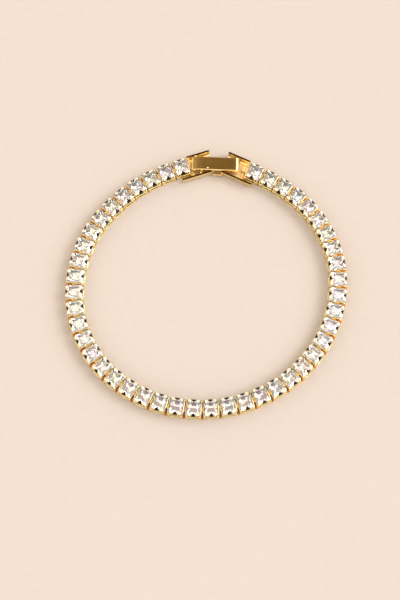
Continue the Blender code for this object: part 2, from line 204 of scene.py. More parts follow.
@dataclass(frozen=True)
class GoldPlate:
    """Yellow gold electroplate on brass, with the surface that its last working step left.

    Attributes:
        name: The finish's name, which says how the surface was made.
        bright: Hex colour of the plate where it is best polished.
        worn: Hex colour of the plate where it is cloudier.
        roughness: Typical roughness of the finish.
        spread: How far the roughness wanders either way.
        cloud_mm: Size of the soft clouds in colour and polish.
        line_mm: Spacing of the fine lines or orange peel.
        lay: Which way the fine lines run.
        relief_mm: Height of the fine lines.
        WORN_BELOW: Depth of the clouds under which the plate is all cloudy.
        BRIGHT_ABOVE: Height of the clouds over which it is all bright.
    """

    name: str
    bright: str
    worn: str
    roughness: float
    spread: float
    cloud_mm: float
    line_mm: float
    lay: BrushLay
    relief_mm: float

    WORN_BELOW: ClassVar[float] = 0.32
    BRIGHT_ABOVE: ClassVar[float] = 0.62

    def build(self) -> bpy.types.Material:
        """Makes the material: clouds in colour, fine lines in roughness and relief.

        Returns:
            The finished material.
        """
        material, tree, shader = new_material(self.name)
        shader.inputs["Metallic"].default_value = 1.0
        place = add_node(tree, "ShaderNodeTexCoord").outputs["Object"]
        plate = ((self.WORN_BELOW, self.worn), (self.BRIGHT_ABOVE, self.bright))
        colour = cloudy_colour(tree, place, self.cloud_mm, detail=3.0, stops=plate, roughness=0.55)
        stretched = add_node(
            tree,
            "ShaderNodeMapping",
            values={"Scale": self.lay.value},
            links={"Vector": place},
        )
        lines = add_node(
            tree,
            "ShaderNodeTexNoise",
            values={"Scale": 1 / (self.line_mm * MM), "Detail": 2.0, "Roughness": 0.6},
            links={"Vector": stretched.outputs["Vector"]},
        )
        gloss = add_node(
            tree,
            "ShaderNodeMapRange",
            values={
                "From Min": 0.25,
                "From Max": 0.75,
                "To Min": max(self.roughness - self.spread, LEAST_ROUGHNESS),
                "To Max": self.roughness + self.spread,
            },
            links={"Value": lines.outputs["Fac"]},
        )
        relief = add_node(
            tree,
            "ShaderNodeBump",
            values={"Strength": 1.0, "Distance": self.relief_mm * MM},
            links={"Height": lines.outputs["Fac"]},
        )
        tree.links.new(colour, shader.inputs["Base Color"])
        tree.links.new(gloss.outputs["Result"], shader.inputs["Roughness"])
        tree.links.new(relief.outputs["Normal"], shader.inputs["Normal"])
        return material


@dataclass(frozen=True)
class CutZirconia:
    """Clear cubic zirconia, cut and polished, with a faint play of colour from facet to facet.

    Attributes:
        name: The finish's name.
        ior: Zirconia's refractive index.
        roughness: Nearly none, as on any lapped facet.
        clear: Share of the light that passes; the rest is diffuse white, a painted reflection
        of the light that a stone's many tiny lower facets throw back.
        tints: Hex colours that the facets share out among them.
    """

    name: str = "cubic_zirconia_lapped_facets"
    ior: float = 2.15
    roughness: float = 0.0
    clear: float = 0.9
    tints: tuple[str, ...] = ("#FDFCFB", "#FDF1EC", "#F0F7FE", "#FBFBFA", "#F5EFFC", "#F4F9EE")

    def build(self) -> bpy.types.Material:
        """Makes the material: each facet's own tint, over clear glassy transmission.

        Returns:
            The finished material.
        """
        material, tree, shader = new_material(self.name)
        facet = add_node(tree, "ShaderNodeAttribute", {"attribute_name": StoneCut.TINT})
        tint = add_node(
            tree,
            "ShaderNodeValToRGB",
            links={"Fac": facet.outputs["Fac"]},
            stops=[(i / len(self.tints), colour) for i, colour in enumerate(self.tints)],
        )
        tint.color_ramp.interpolation = "CONSTANT"
        tree.links.new(tint.outputs["Color"], shader.inputs["Base Color"])
        shader.inputs["Roughness"].default_value = self.roughness
        shader.inputs["IOR"].default_value = self.ior
        # The share that does not pass is diffuse white: painted reflection
        shader.inputs["Transmission Weight"].default_value = self.clear
        return material


@dataclass(frozen=True)
class ShadedFacet:
    """A facet between two prongs, painted dark as painted shade for the dark pit under the rim.

    Attributes:
        name: The finish's name.
        deep: Hex colour of the painted shade in the middle of the pit's image.
        edge: Hex colour where a little painted reflection of gold shows in it.
        cloud_mm: Size of the changes between the two.
        roughness: Rougher than a facet, as the pit's image has no sharp edges.
        gloss: Specular level, low because the facet turns its own gloss away from the eye.
    """

    name: str = "cubic_zirconia_painted_pit_shade"
    deep: str = "#120D06"
    edge: str = "#3A2A12"
    cloud_mm: float = 0.3
    roughness: float = 0.4
    gloss: float = 0.06

    def build(self) -> bpy.types.Material:
        """Makes the material: painted shade, a glossy dark surface with a little painted reflection of
        brown gold in it.

        Returns:
            The finished material.
        """
        material, tree, shader = new_material(self.name)
        place = add_node(tree, "ShaderNodeTexCoord").outputs["Object"]
        pit = ((0.5, self.deep), (0.75, self.edge))
        colour = cloudy_colour(tree, place, self.cloud_mm, detail=2.0, stops=pit)
        tree.links.new(colour, shader.inputs["Base Color"])
        shader.inputs["Roughness"].default_value = self.roughness
        shader.inputs["Specular IOR Level"].default_value = self.gloss
        return material


@dataclass(frozen=True)
class SeamlessPaper:
    """Matt coated background paper, pale peach, with the faintest grain.

    Attributes:
        name: The finish's name.
        light: Hex colour of most of the sheet.
        dark: Hex colour in the grain.
        grain_mm: Size of the grain, drawn coarser than the real 0.1 mm so that it shows at all.
        roughness: High, as the coating is matt.
        gloss: Specular level, low for the same reason.
    """

    name: str = "coated_background_paper"
    light: str = "#B9AFA8"
    dark: str = "#B7ADA6"
    grain_mm: float = 1.6
    roughness: float = 0.9
    gloss: float = 0.15

    def build(self) -> bpy.types.Material:
        """Makes the material: a matt surface with soft grain.

        Returns:
            The finished material.
        """
        material, tree, shader = new_material(self.name)
        place = add_node(tree, "ShaderNodeTexCoord").outputs["Object"]
        grain = ((0.35, self.dark), (0.65, self.light))
        colour = cloudy_colour(tree, place, self.grain_mm, detail=4.0, stops=grain)
        tree.links.new(colour, shader.inputs["Base Color"])
        shader.inputs["Roughness"].default_value = self.roughness
        shader.inputs["Specular IOR Level"].default_value = self.gloss
        return material


# Polished plate on cast settings: tumbled smooth, so it mirrors sharply with a slight orange peel
SETTING_GOLD = GoldPlate(
    "gold_plate_tumble_polished", "#FFEEB6", "#F8E1A2", 0.09, 0.04, 1.4, 0.35, BrushLay.NONE, 0.006
)
# Plated sheet of the trays: rolled and folded, so faint lines run along it and it mirrors softly
TRAY_GOLD = GoldPlate(
    "gold_plate_rolled_sheet", "#FFEAAE", "#F6D994", 0.12, 0.04, 1.8, 0.16, BrushLay.ROLLED, 0.004
)
# Prong heads over the stones: painted paler and pinker than the plate, as painted highlight
HEAD_HIGHLIGHT_GOLD = GoldPlate(
    "gold_plate_heads_painted_highlight", "#FFF4DC", "#FFEAC8", 0.16, 0.04, 0.8, 0.3, BrushLay.NONE, 0.004
)
# Down beside the stones and in the slots: matt, and painted dark brown as painted shade of the pits
PIT_SHADE_GOLD = GoldPlate(
    "gold_plate_painted_pit_shade", "#5A4018", "#3A280C", 0.5, 0.1, 0.6, 0.2, BrushLay.NONE, 0.008
)
# Plate inside the trays, left as it came from the rolls: matt enough to take the light of the room
SATIN_GOLD = GoldPlate(
    "gold_plate_satin_inside", "#FFDFA4", "#F6CB88", 0.46, 0.06, 1.5, 0.2, BrushLay.ROLLED, 0.006
)
# Plate brushed along the bar: the lines spread each reflection into a satin sheen, and its dark bronze is
# painted shade of the level face. Real lines stand 0.03 mm apart, too fine to show, and are drawn three
# times as coarse
BAR_SHADE_GOLD = GoldPlate(
    "gold_plate_brushed_painted_shade", "#90733E", "#856A36", 0.3, 0.06, 3.2, 0.08, BrushLay.ALONG_BAR, 0.002
)
# Sheared edges of the trays' sheet: half matt, and painted dark brown on their tops as painted shade
EDGE_SHADE_GOLD = GoldPlate(
    "gold_plate_edge_painted_shade", "#523714", "#38240C", 0.35, 0.08, 0.8, 0.12, BrushLay.ROLLED, 0.004
)
# Drawn and plated wire of the hinge pin: smooth, with a little drag along it
PIN_GOLD = GoldPlate(
    "gold_plate_drawn_wire", "#F6CB76", "#E2A94E", 0.2, 0.05, 1.0, 0.12, BrushLay.ROLLED, 0.003
)
# Cubic zirconia, lapped flat and polished: every facet is a clear window and a hard mirror at once
CLEAR_STONE = CutZirconia()
# The same stone where it looks down on the pit, painted nearly black with no sparkle: painted shade
SHADE_PAINTED_FACET = ShadedFacet()
# Coated paper, rolled smooth and matt: an even pale ground that takes soft shadows
PALE_PAPER = SeamlessPaper()


# Shaping in millimetres


def rounded_rectangle(low: Flat, high: Flat, radius: float, steps: int = 3) -> list[Flat]:
    """Lists the outline of a rectangle with round corners, counter-clockwise.

    Args:
        low: Its lowest corner.
        high: Its highest corner.
        radius: The corners' radius.
        steps: Straight pieces to each corner.

    Returns:
        The outline's points.
    """
    centres = (
        (high[0] - radius, high[1] - radius),
        (low[0] + radius, high[1] - radius),
        (low[0] + radius, low[1] + radius),
        (high[0] - radius, low[1] + radius),
    )
    points = []
    for quarter, (x, y) in enumerate(centres):
        for step in range(steps + 1):
            turn = math.pi / 2 * (quarter + step / steps)
            points.append((x + radius * math.cos(turn), y + radius * math.sin(turn)))
    return points


def sweep(angle: float, steps: int) -> list[float]:
    """Lists the angles that part a turn into equal steps, with both its ends."""
    return [angle * i / steps for i in range(steps + 1)]


def eased() -> list[Flat]:
    """Lists the quarter round of an eased edge as (inset, depth) shares, from the face outwards."""
    return [(1 - math.sin(turn), 1 - math.cos(turn)) for turn in sweep(math.pi / 2, 2)]


class Form:
    """Closed shells, drawn in millimetres, that become one mesh.

    Attributes:
        finish: Number of the material that the next shells take.
    """

    def __init__(self) -> None:
        """Starts with no shells."""
        self.finish = 0
        self.points: list[Point] = []
        self.faces: list[tuple[int, ...]] = []
        self.finishes: list[int] = []

    @contextmanager
    def finished(self, finish: int) -> Iterator[None]:
        """Gives the shells that are added inside a with block another finish.

        Args:
            finish: Number of that finish.

        Yields:
            Nothing.
        """
        before, self.finish = self.finish, finish
        yield
        self.finish = before

    def take(self, mesh_data: bmesh.types.BMesh) -> None:
        """Adds the shells of a bmesh and frees it.

        Args:
            mesh_data: The bmesh, in millimetres.
        """
        bmesh.ops.recalc_face_normals(mesh_data, faces=mesh_data.faces)
        start = len(self.points)
        mesh_data.verts.index_update()
        self.points += [tuple(vertex.co) for vertex in mesh_data.verts]
        self.faces += [tuple(start + v.index for v in face.verts) for face in mesh_data.faces]
        self.finishes += [int(self.finish)] * len(mesh_data.faces)
        mesh_data.free()

    def skin(self, rings: Sequence[Sequence[Point]], joined: bool = False) -> None:
        """Adds a shell skinned over rings of equal length.

        Args:
            rings: The rings, in order.
            joined: True if the last ring leads back to the first, and otherwise both ends are closed.
        """
        mesh_data = bmesh.new()
        made = [[mesh_data.verts.new(point) for point in ring] for ring in rings]
        following = made[1:] + made[:1] if joined else made[1:]
        for lower, upper in zip(made, following):
            for i, vertex in enumerate(lower):
                j = (i + 1) % len(lower)
                mesh_data.faces.new((vertex, lower[j], upper[j], upper[i]))
        if not joined:
            mesh_data.faces.new(made[0])
            mesh_data.faces.new(made[-1])
        self.take(mesh_data)

    def prism(
        self, outline: Sequence[Flat], low: float, high: float, ease: float, axes: str = "xyz"
    ) -> None:
        """Adds a prism with eased edges.

        Args:
            outline: Its outline in the first two axes.
            low: Where it starts on the third axis.
            high: Where it ends there.
            ease: The radius of its edges.
            axes: The three axes in order.
        """
        order = ["xyz".index(axis) for axis in axes]
        mesh_data = bmesh.new()
        rings = []
        for level in (low, high):
            ring = []
            for first, second in outline:
                point = [0.0, 0.0, 0.0]
                point[order[0]], point[order[1]], point[order[2]] = first, second, level
                ring.append(mesh_data.verts.new(point))
            rings.append(ring)
        for i in range(len(outline)):
            j = (i + 1) % len(outline)
            mesh_data.faces.new((rings[0][i], rings[0][j], rings[1][j], rings[1][i]))
        mesh_data.faces.new(rings[0])
        mesh_data.faces.new(rings[1])
        bmesh.ops.recalc_face_normals(mesh_data, faces=mesh_data.faces)
        sharp = math.radians(EASED_ABOVE_DEG)
        bent = [edge for edge in mesh_data.edges if edge.calc_face_angle(0) > sharp]
        bmesh.ops.bevel(
            mesh_data, geom=bent, offset=ease, segments=2, profile=0.5, affect="EDGES", clamp_overlap=True
        )
        self.take(mesh_data)

    def block(self, low: Point, high: Point, ease: float) -> None:
        """Adds a box with eased edges between two corners."""
        outline = [(low[0], low[1]), (high[0], low[1]), (high[0], high[1]), (low[0], high[1])]
        self.prism(outline, low[2], high[2], ease)

    def pierced_plate(
        self,
        outer: tuple[Flat, Flat, float],
        window: tuple[Flat, Flat, float],
        near: float,
        far: float,
        ease: float,
        reveal_finish: int,
    ) -> None:
        """Adds an upright plate in x and z with a window through it and every edge eased.

        Args:
            outer: The plate's low corner, high corner and corner radius.
            window: The same for its window.
            near: Where the plate starts in y.
            far: Where it ends in y.
            ease: The radius of its edges.
            reveal_finish: Number of the material inside the window.
        """
        rings = []
        first_face = len(self.faces)
        for (low, high, radius), grow, begin, finish in ((outer, -1, near, far), (window, 1, far, near)):
            way = 1 if finish > begin else -1
            for face, inward, steps in ((begin, way, eased()), (finish, -way, eased()[::-1])):
                for inset, depth in steps:
                    away = grow * inset * ease
                    outline = rounded_rectangle(
                        (low[0] - away, low[1] - away),
                        (high[0] + away, high[1] + away),
                        max(radius + away, LEAST_CORNER),
                    )
                    rings.append([(x, face + inward * depth * ease, z) for x, z in outline])
        self.skin(rings, joined=True)
        around = len(rings[0])
        reveal = first_face + (len(rings) - len(eased()) - 1) * around
        self.finishes[reveal : reveal + around] = [int(reveal_finish)] * around

    def rod(self, start: Point, end: Point, radius: float, ease: float, sides: int = 16) -> None:
        """Adds a round rod with eased ends.

        Args:
            start: The middle of one end.
            end: The middle of the other.
            radius: The rod's radius.
            ease: How much its ends are rounded over.
            sides: Sides to the round.
        """
        first, last = Vector(start), Vector(end)
        along = (last - first).normalized()
        turn = along.to_track_quat("Z", "Y").to_matrix()
        around = [Vector((math.cos(t), math.sin(t), 0)) for t in sweep(2 * math.pi, sides)[:-1]]
        rings = []
        for origin, way in ((first, 1), (last, -1)):
            steps = eased() if way > 0 else eased()[::-1]
            for inset, depth in steps:
                width = radius - inset * ease
                centre = origin + along * way * depth * ease
                rings.append([tuple(centre + turn @ (width * out)) for out in around])
        self.skin(rings)

    def refinish(self, start: int, finish: int, chosen: Callable[[Vector, float], bool]) -> None:
        """Gives some of the faces from a number on another finish.

        Args:
            start: Number of the first face.
            finish: Number of the finish.
            chosen: Tells from a face's normal and its highest point whether it is one of them.
        """
        for number in range(start, len(self.faces)):
            corners = [Vector(self.points[i]) for i in self.faces[number]]
            normal = (corners[1] - corners[0]).cross(corners[2] - corners[0]).normalized()
            if chosen(normal, max(corner.z for corner in corners)):
                self.finishes[number] = int(finish)

    def object_at(
        self,
        name: str,
        places: Sequence[Matrix],
        materials: Sequence[bpy.types.Material],
        home: Matrix | None = None,
    ) -> bpy.types.Object:
        """Turns the form into one object, copied to each place and shaded with its flat faces flat.

        Args:
            name: The object's name.
            places: Where each copy stands, in metres.
            materials: Its materials, in the order of the shells' finish numbers.
            home: The object's own matrix, which its texture lies along.

        Returns:
            The object.
        """
        shape = np.array(self.points) * MM
        points, faces = [], []
        for place in places:
            turned = np.array(place)
            faces += [tuple(i + len(points) * len(shape) for i in face) for face in self.faces]
            points.append(shape @ turned[:3, :3].T + turned[:3, 3])
        mesh = bpy.data.meshes.new(name)
        mesh.from_pydata(np.concatenate(points).tolist(), [], faces)
        for material in materials:
            mesh.materials.append(material)
        mesh.polygons.foreach_set("material_index", self.finishes * len(places))
        mesh.shade_smooth()
        mesh.set_sharp_from_angle(angle=math.radians(SHARP_ABOVE_DEG))
        obj = bpy.data.objects.new(name, mesh)
        bpy.context.scene.collection.objects.link(obj)
        if home is not None:
            mesh.transform(home.inverted())
            obj.matrix_world = home
        flatten = obj.modifiers.new("flat faces stay flat", "WEIGHTED_NORMAL")
        flatten.keep_sharp = True
        flatten.weight = FLAT_WEIGHT
        graph = bpy.context.evaluated_depsgraph_get()
        obj.data = bpy.data.meshes.new_from_object(obj.evaluated_get(graph))
        obj.modifiers.clear()
        return obj


def settle(piece: bpy.types.Object, body: str, nodes: Sequence[str]) -> None:
    """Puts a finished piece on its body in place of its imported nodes, and reports it.

    Args:
        piece: The piece.
        body: The body that it rides on.
        nodes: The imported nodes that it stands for.
    """
    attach(piece, body)
    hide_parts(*nodes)
    LOG.info("%s: %d faces, stands for %d nodes", piece.name, len(piece.data.polygons), len(nodes))


# Places


def upright_frame(origin: Vector, along: Vector) -> Matrix:
    """Makes a frame with x along a level direction, y to its left and z up.

    Args:
        origin: The frame's origin.
        along: The direction.

    Returns:
        The frame.
    """
    ahead = along.normalized()
    left = Vector((0, 0, 1)).cross(ahead)
    turn = Matrix((ahead, left, (0, 0, 1))).transposed().to_4x4()
    return Matrix.Translation(origin) @ turn


def link_place(node: bpy.types.Object) -> Matrix:
    """Reads a packed link's place from its four prong heads and its tongue.

    Args:
        node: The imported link.

    Returns:
        Its frame, with x along the chain towards the tongue and y into the loop.
    """
    points = np.array([vertex.co for vertex in node.data.vertices])
    heads = points[points[:, 2] > points[:, 2].max() - HEAD_BAND][:, :2]
    heads = np.unique(np.round(heads, 7), axis=0)
    centre = heads.mean(axis=0)
    across = np.linalg.svd(heads - centre)[2][0]
    along = np.array((across[1], -across[0]))
    flat = points[:, :2] - centre
    tongue = flat[np.argmax((flat**2).sum(axis=1))]
    if tongue @ along < 0:
        along = -along
    return upright_frame(Vector((*centre, 0)), Vector((*along, 0)))


# The stones


@dataclass
class StoneCut:
    """The square cut stones, one to each link.

    Attributes:
        size: Width of the girdle along the chain.
        corner: How much is cut off each corner of the girdle.
        table: Width of the table.
        table_corner: How much is cut off each corner of the table.
        girdle_low: Height of the girdle's lower edge.
        girdle_high: Height of its upper edge.
        table_height: Height of the table.
        star_half: Half the width of the small triangular facet in the middle of each side.
        star_reach: How far from the stone's middle that facet's point lies.
        star_height: Height of that point.
        pavilion: Distance from the middle and height of the two levels where the slope of the
            stone's lower half changes, in the middle of each side.
        ridges: The same two levels along each diagonal, with the distance along x and along y.
        culet_height: Height of the stone's lowest point.
        stretch: How many times longer the stone is across the chain than along it.
        TINT: Name of the facets' tint.
        TINT_SEED: Where the facets' random tints start.
    """

    TINT: ClassVar[str] = "facet_tint"
    TINT_SEED: ClassVar[int] = 45

    size: float = 3.1
    corner: float = 0.14
    table: float = 1.9
    table_corner: float = 0.1
    girdle_low: float = 2.05
    girdle_high: float = 2.11
    table_height: float = 2.61
    star_half: float = 0.54
    star_reach: float = 1.02
    star_height: float = 2.56
    pavilion: tuple[Flat, Flat] = ((1.1, 1.545), (0.62, 1.02))
    ridges: tuple[Flat, Flat] = ((0.86, 1.31), (0.4, 0.82))
    culet_height: float = 0.38
    stretch: float = 1.16

    def facets(self) -> tuple[list[Point], list[tuple[int, ...]], list[tuple[int, ...]]]:
        """Lists the stone's corners and facets.

        Returns:
            The points in millimetres, the facets as numbers of points, and those facets that lie
            between two prongs in the shadow of the rim, which get painted shade.
        """
        half, near = self.size / 2, self.size / 2 - self.corner
        table, table_near = self.table / 2, self.table / 2 - self.table_corner
        points: list[Point] = []

        def turned(x: float, y: float, z: float, quarter: int) -> int:
            """Adds a point that is turned about the stone's middle.

            Args:
                x: Its place along the chain before the turn.
                y: Its place across the chain.
                z: Its height.
                quarter: How many quarters it is turned by.

            Returns:
                The point's number.
            """
            for _ in range(quarter):
                x, y = -y, x
            points.append((x, y * self.stretch, z))
            return len(points) - 1

        upper, lower, rim, stars, middles, corners = [], [], [], [], [], []
        girdle = (-near, -self.star_half, self.star_half, near)
        for quarter in range(4):
            upper.append([turned(half, y, self.girdle_high, quarter) for y in girdle])
            lower.append([turned(half, y, self.girdle_low, quarter) for y in (-near, near)])
            rim.append([turned(table, y, self.table_height, quarter) for y in (-table_near, table_near)])
            stars.append(turned(self.star_reach, 0, self.star_height, quarter))
            middles.append([turned(away, 0, height, quarter) for away, height in self.pavilion])
            corners.append([turned(away, away, height, quarter) for away, height in self.ridges])
        culet = turned(0, 0, self.culet_height, 0)
        faces = [tuple(i for pair in rim for i in pair)]
        for q in range(4):
            after = (q + 1) % 4
            before = (q + 3) % 4
            girdle_start, star_start, star_end, girdle_end = upper[q]
            table_start, table_end = rim[q]
            under_start, under_end = lower[q]
            star = stars[q]
            faces += [
                (star_start, star_end, star),
                (girdle_start, star_start, star),
                (girdle_start, star, table_start),
                (star_end, girdle_end, star),
                (girdle_end, table_end, star),
                (table_start, star, table_end),
                (girdle_end, upper[after][0], rim[after][0], table_end),
                (under_start, under_end, girdle_end, star_end, star_start, girdle_start),
                (under_end, lower[after][0], upper[after][0], girdle_end),
                (under_end, under_start, middles[q][0]),
                (under_end, corners[q][0], lower[after][0]),
                (under_end, middles[q][0], corners[q][0]),
                (under_start, corners[before][0], middles[q][0]),
            ]
            for side in (corners[q], corners[before]):
                faces += [
                    (middles[q][0], middles[q][1], side[0]),
                    (middles[q][1], side[1], side[0]),
                    (culet, side[1], middles[q][1]),
                ]
        shaded = [(upper[q][1], upper[q][2], stars[q]) for q in (1, 3)]
        return points, faces, shaded

    def build(self, places: Sequence[Matrix], materials: Sequence[bpy.types.Material]) -> bpy.types.Object:
        """Sets a stone at each place, all in one mesh with a tint to each facet.

        Args:
            places: The links' places.
            materials: The stones' finish and the painted shade of their shaded facets.

        Returns:
            The stones.
        """
        points, faces, shaded = self.facets()
        shape = np.array(points) * MM
        placed = [shape @ np.array(p)[:3, :3].T + np.array(p)[:3, 3] for p in places]
        count = len(points)
        every = [tuple(i + k * count for i in face) for k in range(len(places)) for face in faces]
        mesh = bpy.data.meshes.new("cut_stones")
        mesh.from_pydata(np.concatenate(placed).tolist(), [], every)
        mesh_data = bmesh.new()
        mesh_data.from_mesh(mesh)
        bmesh.ops.recalc_face_normals(mesh_data, faces=mesh_data.faces)
        mesh_data.to_mesh(mesh)
        mesh_data.free()
        chance = np.random.default_rng(self.TINT_SEED)
        tints = mesh.attributes.new(self.TINT, "FLOAT", "FACE")
        tints.data.foreach_set("value", chance.random(len(mesh.polygons)).astype(np.float32))
        # Facets in the rim's shadow take the second material, which is painted shade
        dark = [int(face in shaded) for face in faces]
        mesh.polygons.foreach_set("material_index", dark * len(places))
        for material in materials:
            mesh.materials.append(material)
        stones = bpy.data.objects.new("cut_stones", mesh)
        bpy.context.scene.collection.objects.link(stones)
        return stones


# The settings


class SettingFinish(IntEnum):
    """The places of a setting's finishes among its materials."""

    BOX = 0
    END = 1
    # Painted shade in the slots and in the pit beside the stone
    PIT = 2
    HEAD = 3


class RimPoint(NamedTuple):
    """A point of the side walls' rim, in section.

    Attributes:
        inside: How far it lies inside the wall's outer face.
        below: How far it lies below the rim's top.
    """

    inside: float
    below: float


class ProngSection(NamedTuple):
    """One section of a prong.

    Attributes:
        x: How far its middle lies from the stone's, along the chain.
        y: The same across the chain.
        z: Its height.
        wide: Its width.
        thick: Its thickness.
        lean: How far it is turned over the stone, in degrees.
    """

    x: float
    y: float
    z: float
    wide: float
    thick: float
    lean: float


@dataclass
class BoxSetting:
    """One pierced box setting with its prongs and the parts that hook it to the next.

    Attributes:
        length: Length along the chain.
        width: Width across the chain at the foot.
        lean: How far each side wall leans in, from its foot to its rim.
        wall: Thickness of the side walls.
        wall_corner: Radius of the side walls' corners.
        end_wall: Thickness of the end walls.
        rim_height: Height of the side walls' bright rim.
        rim_outside: How much of that rim's width belongs to its outer half.
        slot_length: Length of the slot in each side wall.
        slot_low: Height of the slot's lower edge.
        slot_high: Height of its upper edge.
        slot_corner: Radius of its corners.
        end_rim_half: Half the width of the rims over both ends.
        end_rim_low: Underside of those rims.
        end_rim_high: Their top.
        end_rim_in: How far they reach into the setting.
        end_rim_out: How far they stand out of it.
        end_rim_ease: Radius of their edges.
        feet: From where to where each of the two flared feet at an end runs, across the chain.
        foot_low: Underside of the feet.
        foot_high: Their top.
        foot_root: How far they reach into the end's wall.
        flare_middle: How far a foot in the chain's middle would flare out.
        flare_turn: How much less it flares out for each millimetre further into the loop.
        bar_low: Underside of the bar that the next tongue hooks round.
        bar_high: Top of that bar.
        ear_width: Free width between the ears at the bar.
        strut_near: Where each prong's strut starts along the chain, from the stone's middle.
        strut_far: Where it ends.
        strut_inside: Where it starts across the chain.
        strut_rise: How far it stands above the rim.
        seat_half: Half the length of the ledge under the stone's edge.
        pit_half: Half the length of its middle, which lies in the dark pit and takes its painted shade.
        seat_inside: Where the ledge starts across the chain.
        seat_root: How far it reaches into the side wall.
        seat_low: Underside of the ledge and of the struts.
        seat_high: Top of the ledge.
        tongue_half: Half the tongue's width.
        tongue_sheet: Thickness of its sheet.
        tongue_play: Its play above and below the bar.
        tongue_past: How far past the next link's end its fold lies.
        pitch: Distance from one link to the next.
        ease: Radius of the walls' edges.
        small_ease: Radius of the ends' edges.
        thick_ease: Radius of the edges of bars and struts.
        fine_ease: Radius of the ledge's edges.
        recess: How far the end walls stand back under the rims.
        tuck: How far a part runs into the wall that it is soldered to.
        RIM_SECTION: The rim's section, from its outer foot over its top to its inner foot.
        PRONG: The prong from its foot to its tip.
        HEAD_FROM: Number of the section where its head starts.
    """

    length: float = 3.2
    width: float = 4.08
    lean: float = 0.09
    wall: float = 0.36
    wall_corner: float = 0.14
    end_wall: float = 0.42
    rim_height: float = 1.3
    rim_outside: float = 0.13
    slot_length: float = 1.74
    slot_low: float = 0.36
    slot_high: float = 0.98
    slot_corner: float = 0.16
    end_rim_half: float = 1.56
    end_rim_low: float = 1.15
    end_rim_high: float = 2.0
    end_rim_in: float = 0.12
    end_rim_out: float = 0.08
    end_rim_ease: float = 0.085
    feet: tuple[Flat, Flat] = ((-1.98, -0.72), (0.72, 1.9))
    foot_low: float = 0.06
    foot_high: float = 1.25
    foot_root: float = 0.1
    flare_middle: float = 0.17
    flare_turn: float = 0.075
    bar_low: float = 0.33
    bar_high: float = 0.8
    ear_width: float = 2.6
    strut_near: float = 0.46
    strut_far: float = 0.78
    strut_inside: float = 1.62
    strut_rise: float = 0.04
    seat_half: float = 1.4
    pit_half: float = 0.7
    seat_inside: float = 1.3
    seat_root: float = 0.12
    seat_low: float = 1.0
    seat_high: float = 1.2
    tongue_half: float = 0.6
    tongue_sheet: float = 0.2
    tongue_play: float = 0.1
    tongue_past: float = 0.67
    pitch: float = 3.65
    ease: float = 0.09
    small_ease: float = 0.06
    thick_ease: float = 0.08
    fine_ease: float = 0.03
    recess: float = 0.02
    tuck: float = 0.05

    RIM_SECTION: ClassVar[tuple[RimPoint, ...]] = (
        RimPoint(inside=0.0, below=0.3),
        RimPoint(inside=0.0, below=0.14),
        RimPoint(inside=0.03, below=0.05),
        RimPoint(inside=0.1, below=0.0),
        RimPoint(inside=0.15, below=0.03),
        RimPoint(inside=0.18, below=0.1),
        RimPoint(inside=0.22, below=0.3),
    )
    PRONG: ClassVar[tuple[ProngSection, ...]] = (
        ProngSection(x=0.62, y=1.84, z=0.9, wide=0.36, thick=0.2, lean=0.0),
        ProngSection(x=0.62, y=1.84, z=1.7, wide=0.36, thick=0.2, lean=4.0),
        ProngSection(x=0.66, y=1.84, z=1.97, wide=0.4, thick=0.2, lean=18.0),
        ProngSection(x=0.76, y=1.79, z=2.2, wide=0.5, thick=0.2, lean=38.0),
        ProngSection(x=0.87, y=1.7, z=2.38, wide=0.6, thick=0.2, lean=55.0),
        ProngSection(x=0.92, y=1.56, z=2.5, wide=0.64, thick=0.19, lean=64.0),
        ProngSection(x=0.93, y=1.41, z=2.57, wide=0.6, thick=0.16, lean=70.0),
        ProngSection(x=0.92, y=1.29, z=2.6, wide=0.44, thick=0.12, lean=76.0),
        ProngSection(x=0.92, y=1.23, z=2.61, wide=0.2, thick=0.07, lean=80.0),
    )
    HEAD_FROM: ClassVar[int] = 4

    def side_wall(self, form: Form, side: int) -> None:
        """Adds a pierced side wall, which leans in a little, and the rounded rim along its top.

        Args:
            form: The form that gets it.
            side: 1 for the wall inside the loop, -1 for the one outside.
        """
        half, outer = self.length / 2, self.width / 2
        start = len(form.points)
        near, far = sorted((side * (outer - self.wall), side * outer))
        plate_top, slot_half = self.rim_height - self.RIM_SECTION[-2].below, self.slot_length / 2
        form.pierced_plate(
            ((-half, 0.0), (half, plate_top), self.wall_corner),
            ((-slot_half, self.slot_low), (slot_half, self.slot_high), self.slot_corner),
            near,
            far,
            self.ease,
            # The slot's inside takes the pits' painted shade
            SettingFinish.PIT,
        )
        rings = []
        for end in (-1, 1):
            steps = eased() if end < 0 else eased()[::-1]
            for inset, depth in steps:
                x = end * (half - depth * self.ease)
                shrink = inset * self.ease
                ring = []
                for inside, below in self.RIM_SECTION:
                    aside = shrink if inside < self.rim_outside else 0
                    ring.append((x, side * (outer - inside - aside), self.rim_height - below - shrink))
                rings.append(ring)
        form.skin(rings)
        for number, (x, y, z) in enumerate(form.points[start:], start):
            form.points[number] = (x, y - side * self.lean * z / self.rim_height, z)

    def flare(self, y: float) -> float:
        """Tells how far the foot of an end flares out, more outside the loop, where links part."""
        return self.flare_middle - self.flare_turn * y

    def feet_at(self, form: Form, end: int) -> None:
        """Adds the two flared feet of an end.

        Args:
            form: The form that gets them.
            end: 1 for the end with the tongue, -1 for the end with the bar.
        """
        half = self.length / 2
        root = end * (half - self.foot_root)
        for low_y, high_y in self.feet:
            foot = [
                (root, low_y),
                (end * (half + self.flare(low_y)), low_y),
                (end * (half + self.flare(high_y)), high_y),
                (root, high_y),
            ]
            low_head = max(low_y, self.feet[0][0] + self.lean)
            high_head = min(high_y, self.feet[1][1] - self.lean)
            head = [(root, low_head), (end * half, low_head), (end * half, high_head), (root, high_head)]
            form.skin([[(x, y, self.foot_low) for x, y in foot], [(x, y, self.foot_high) for x, y in head]])

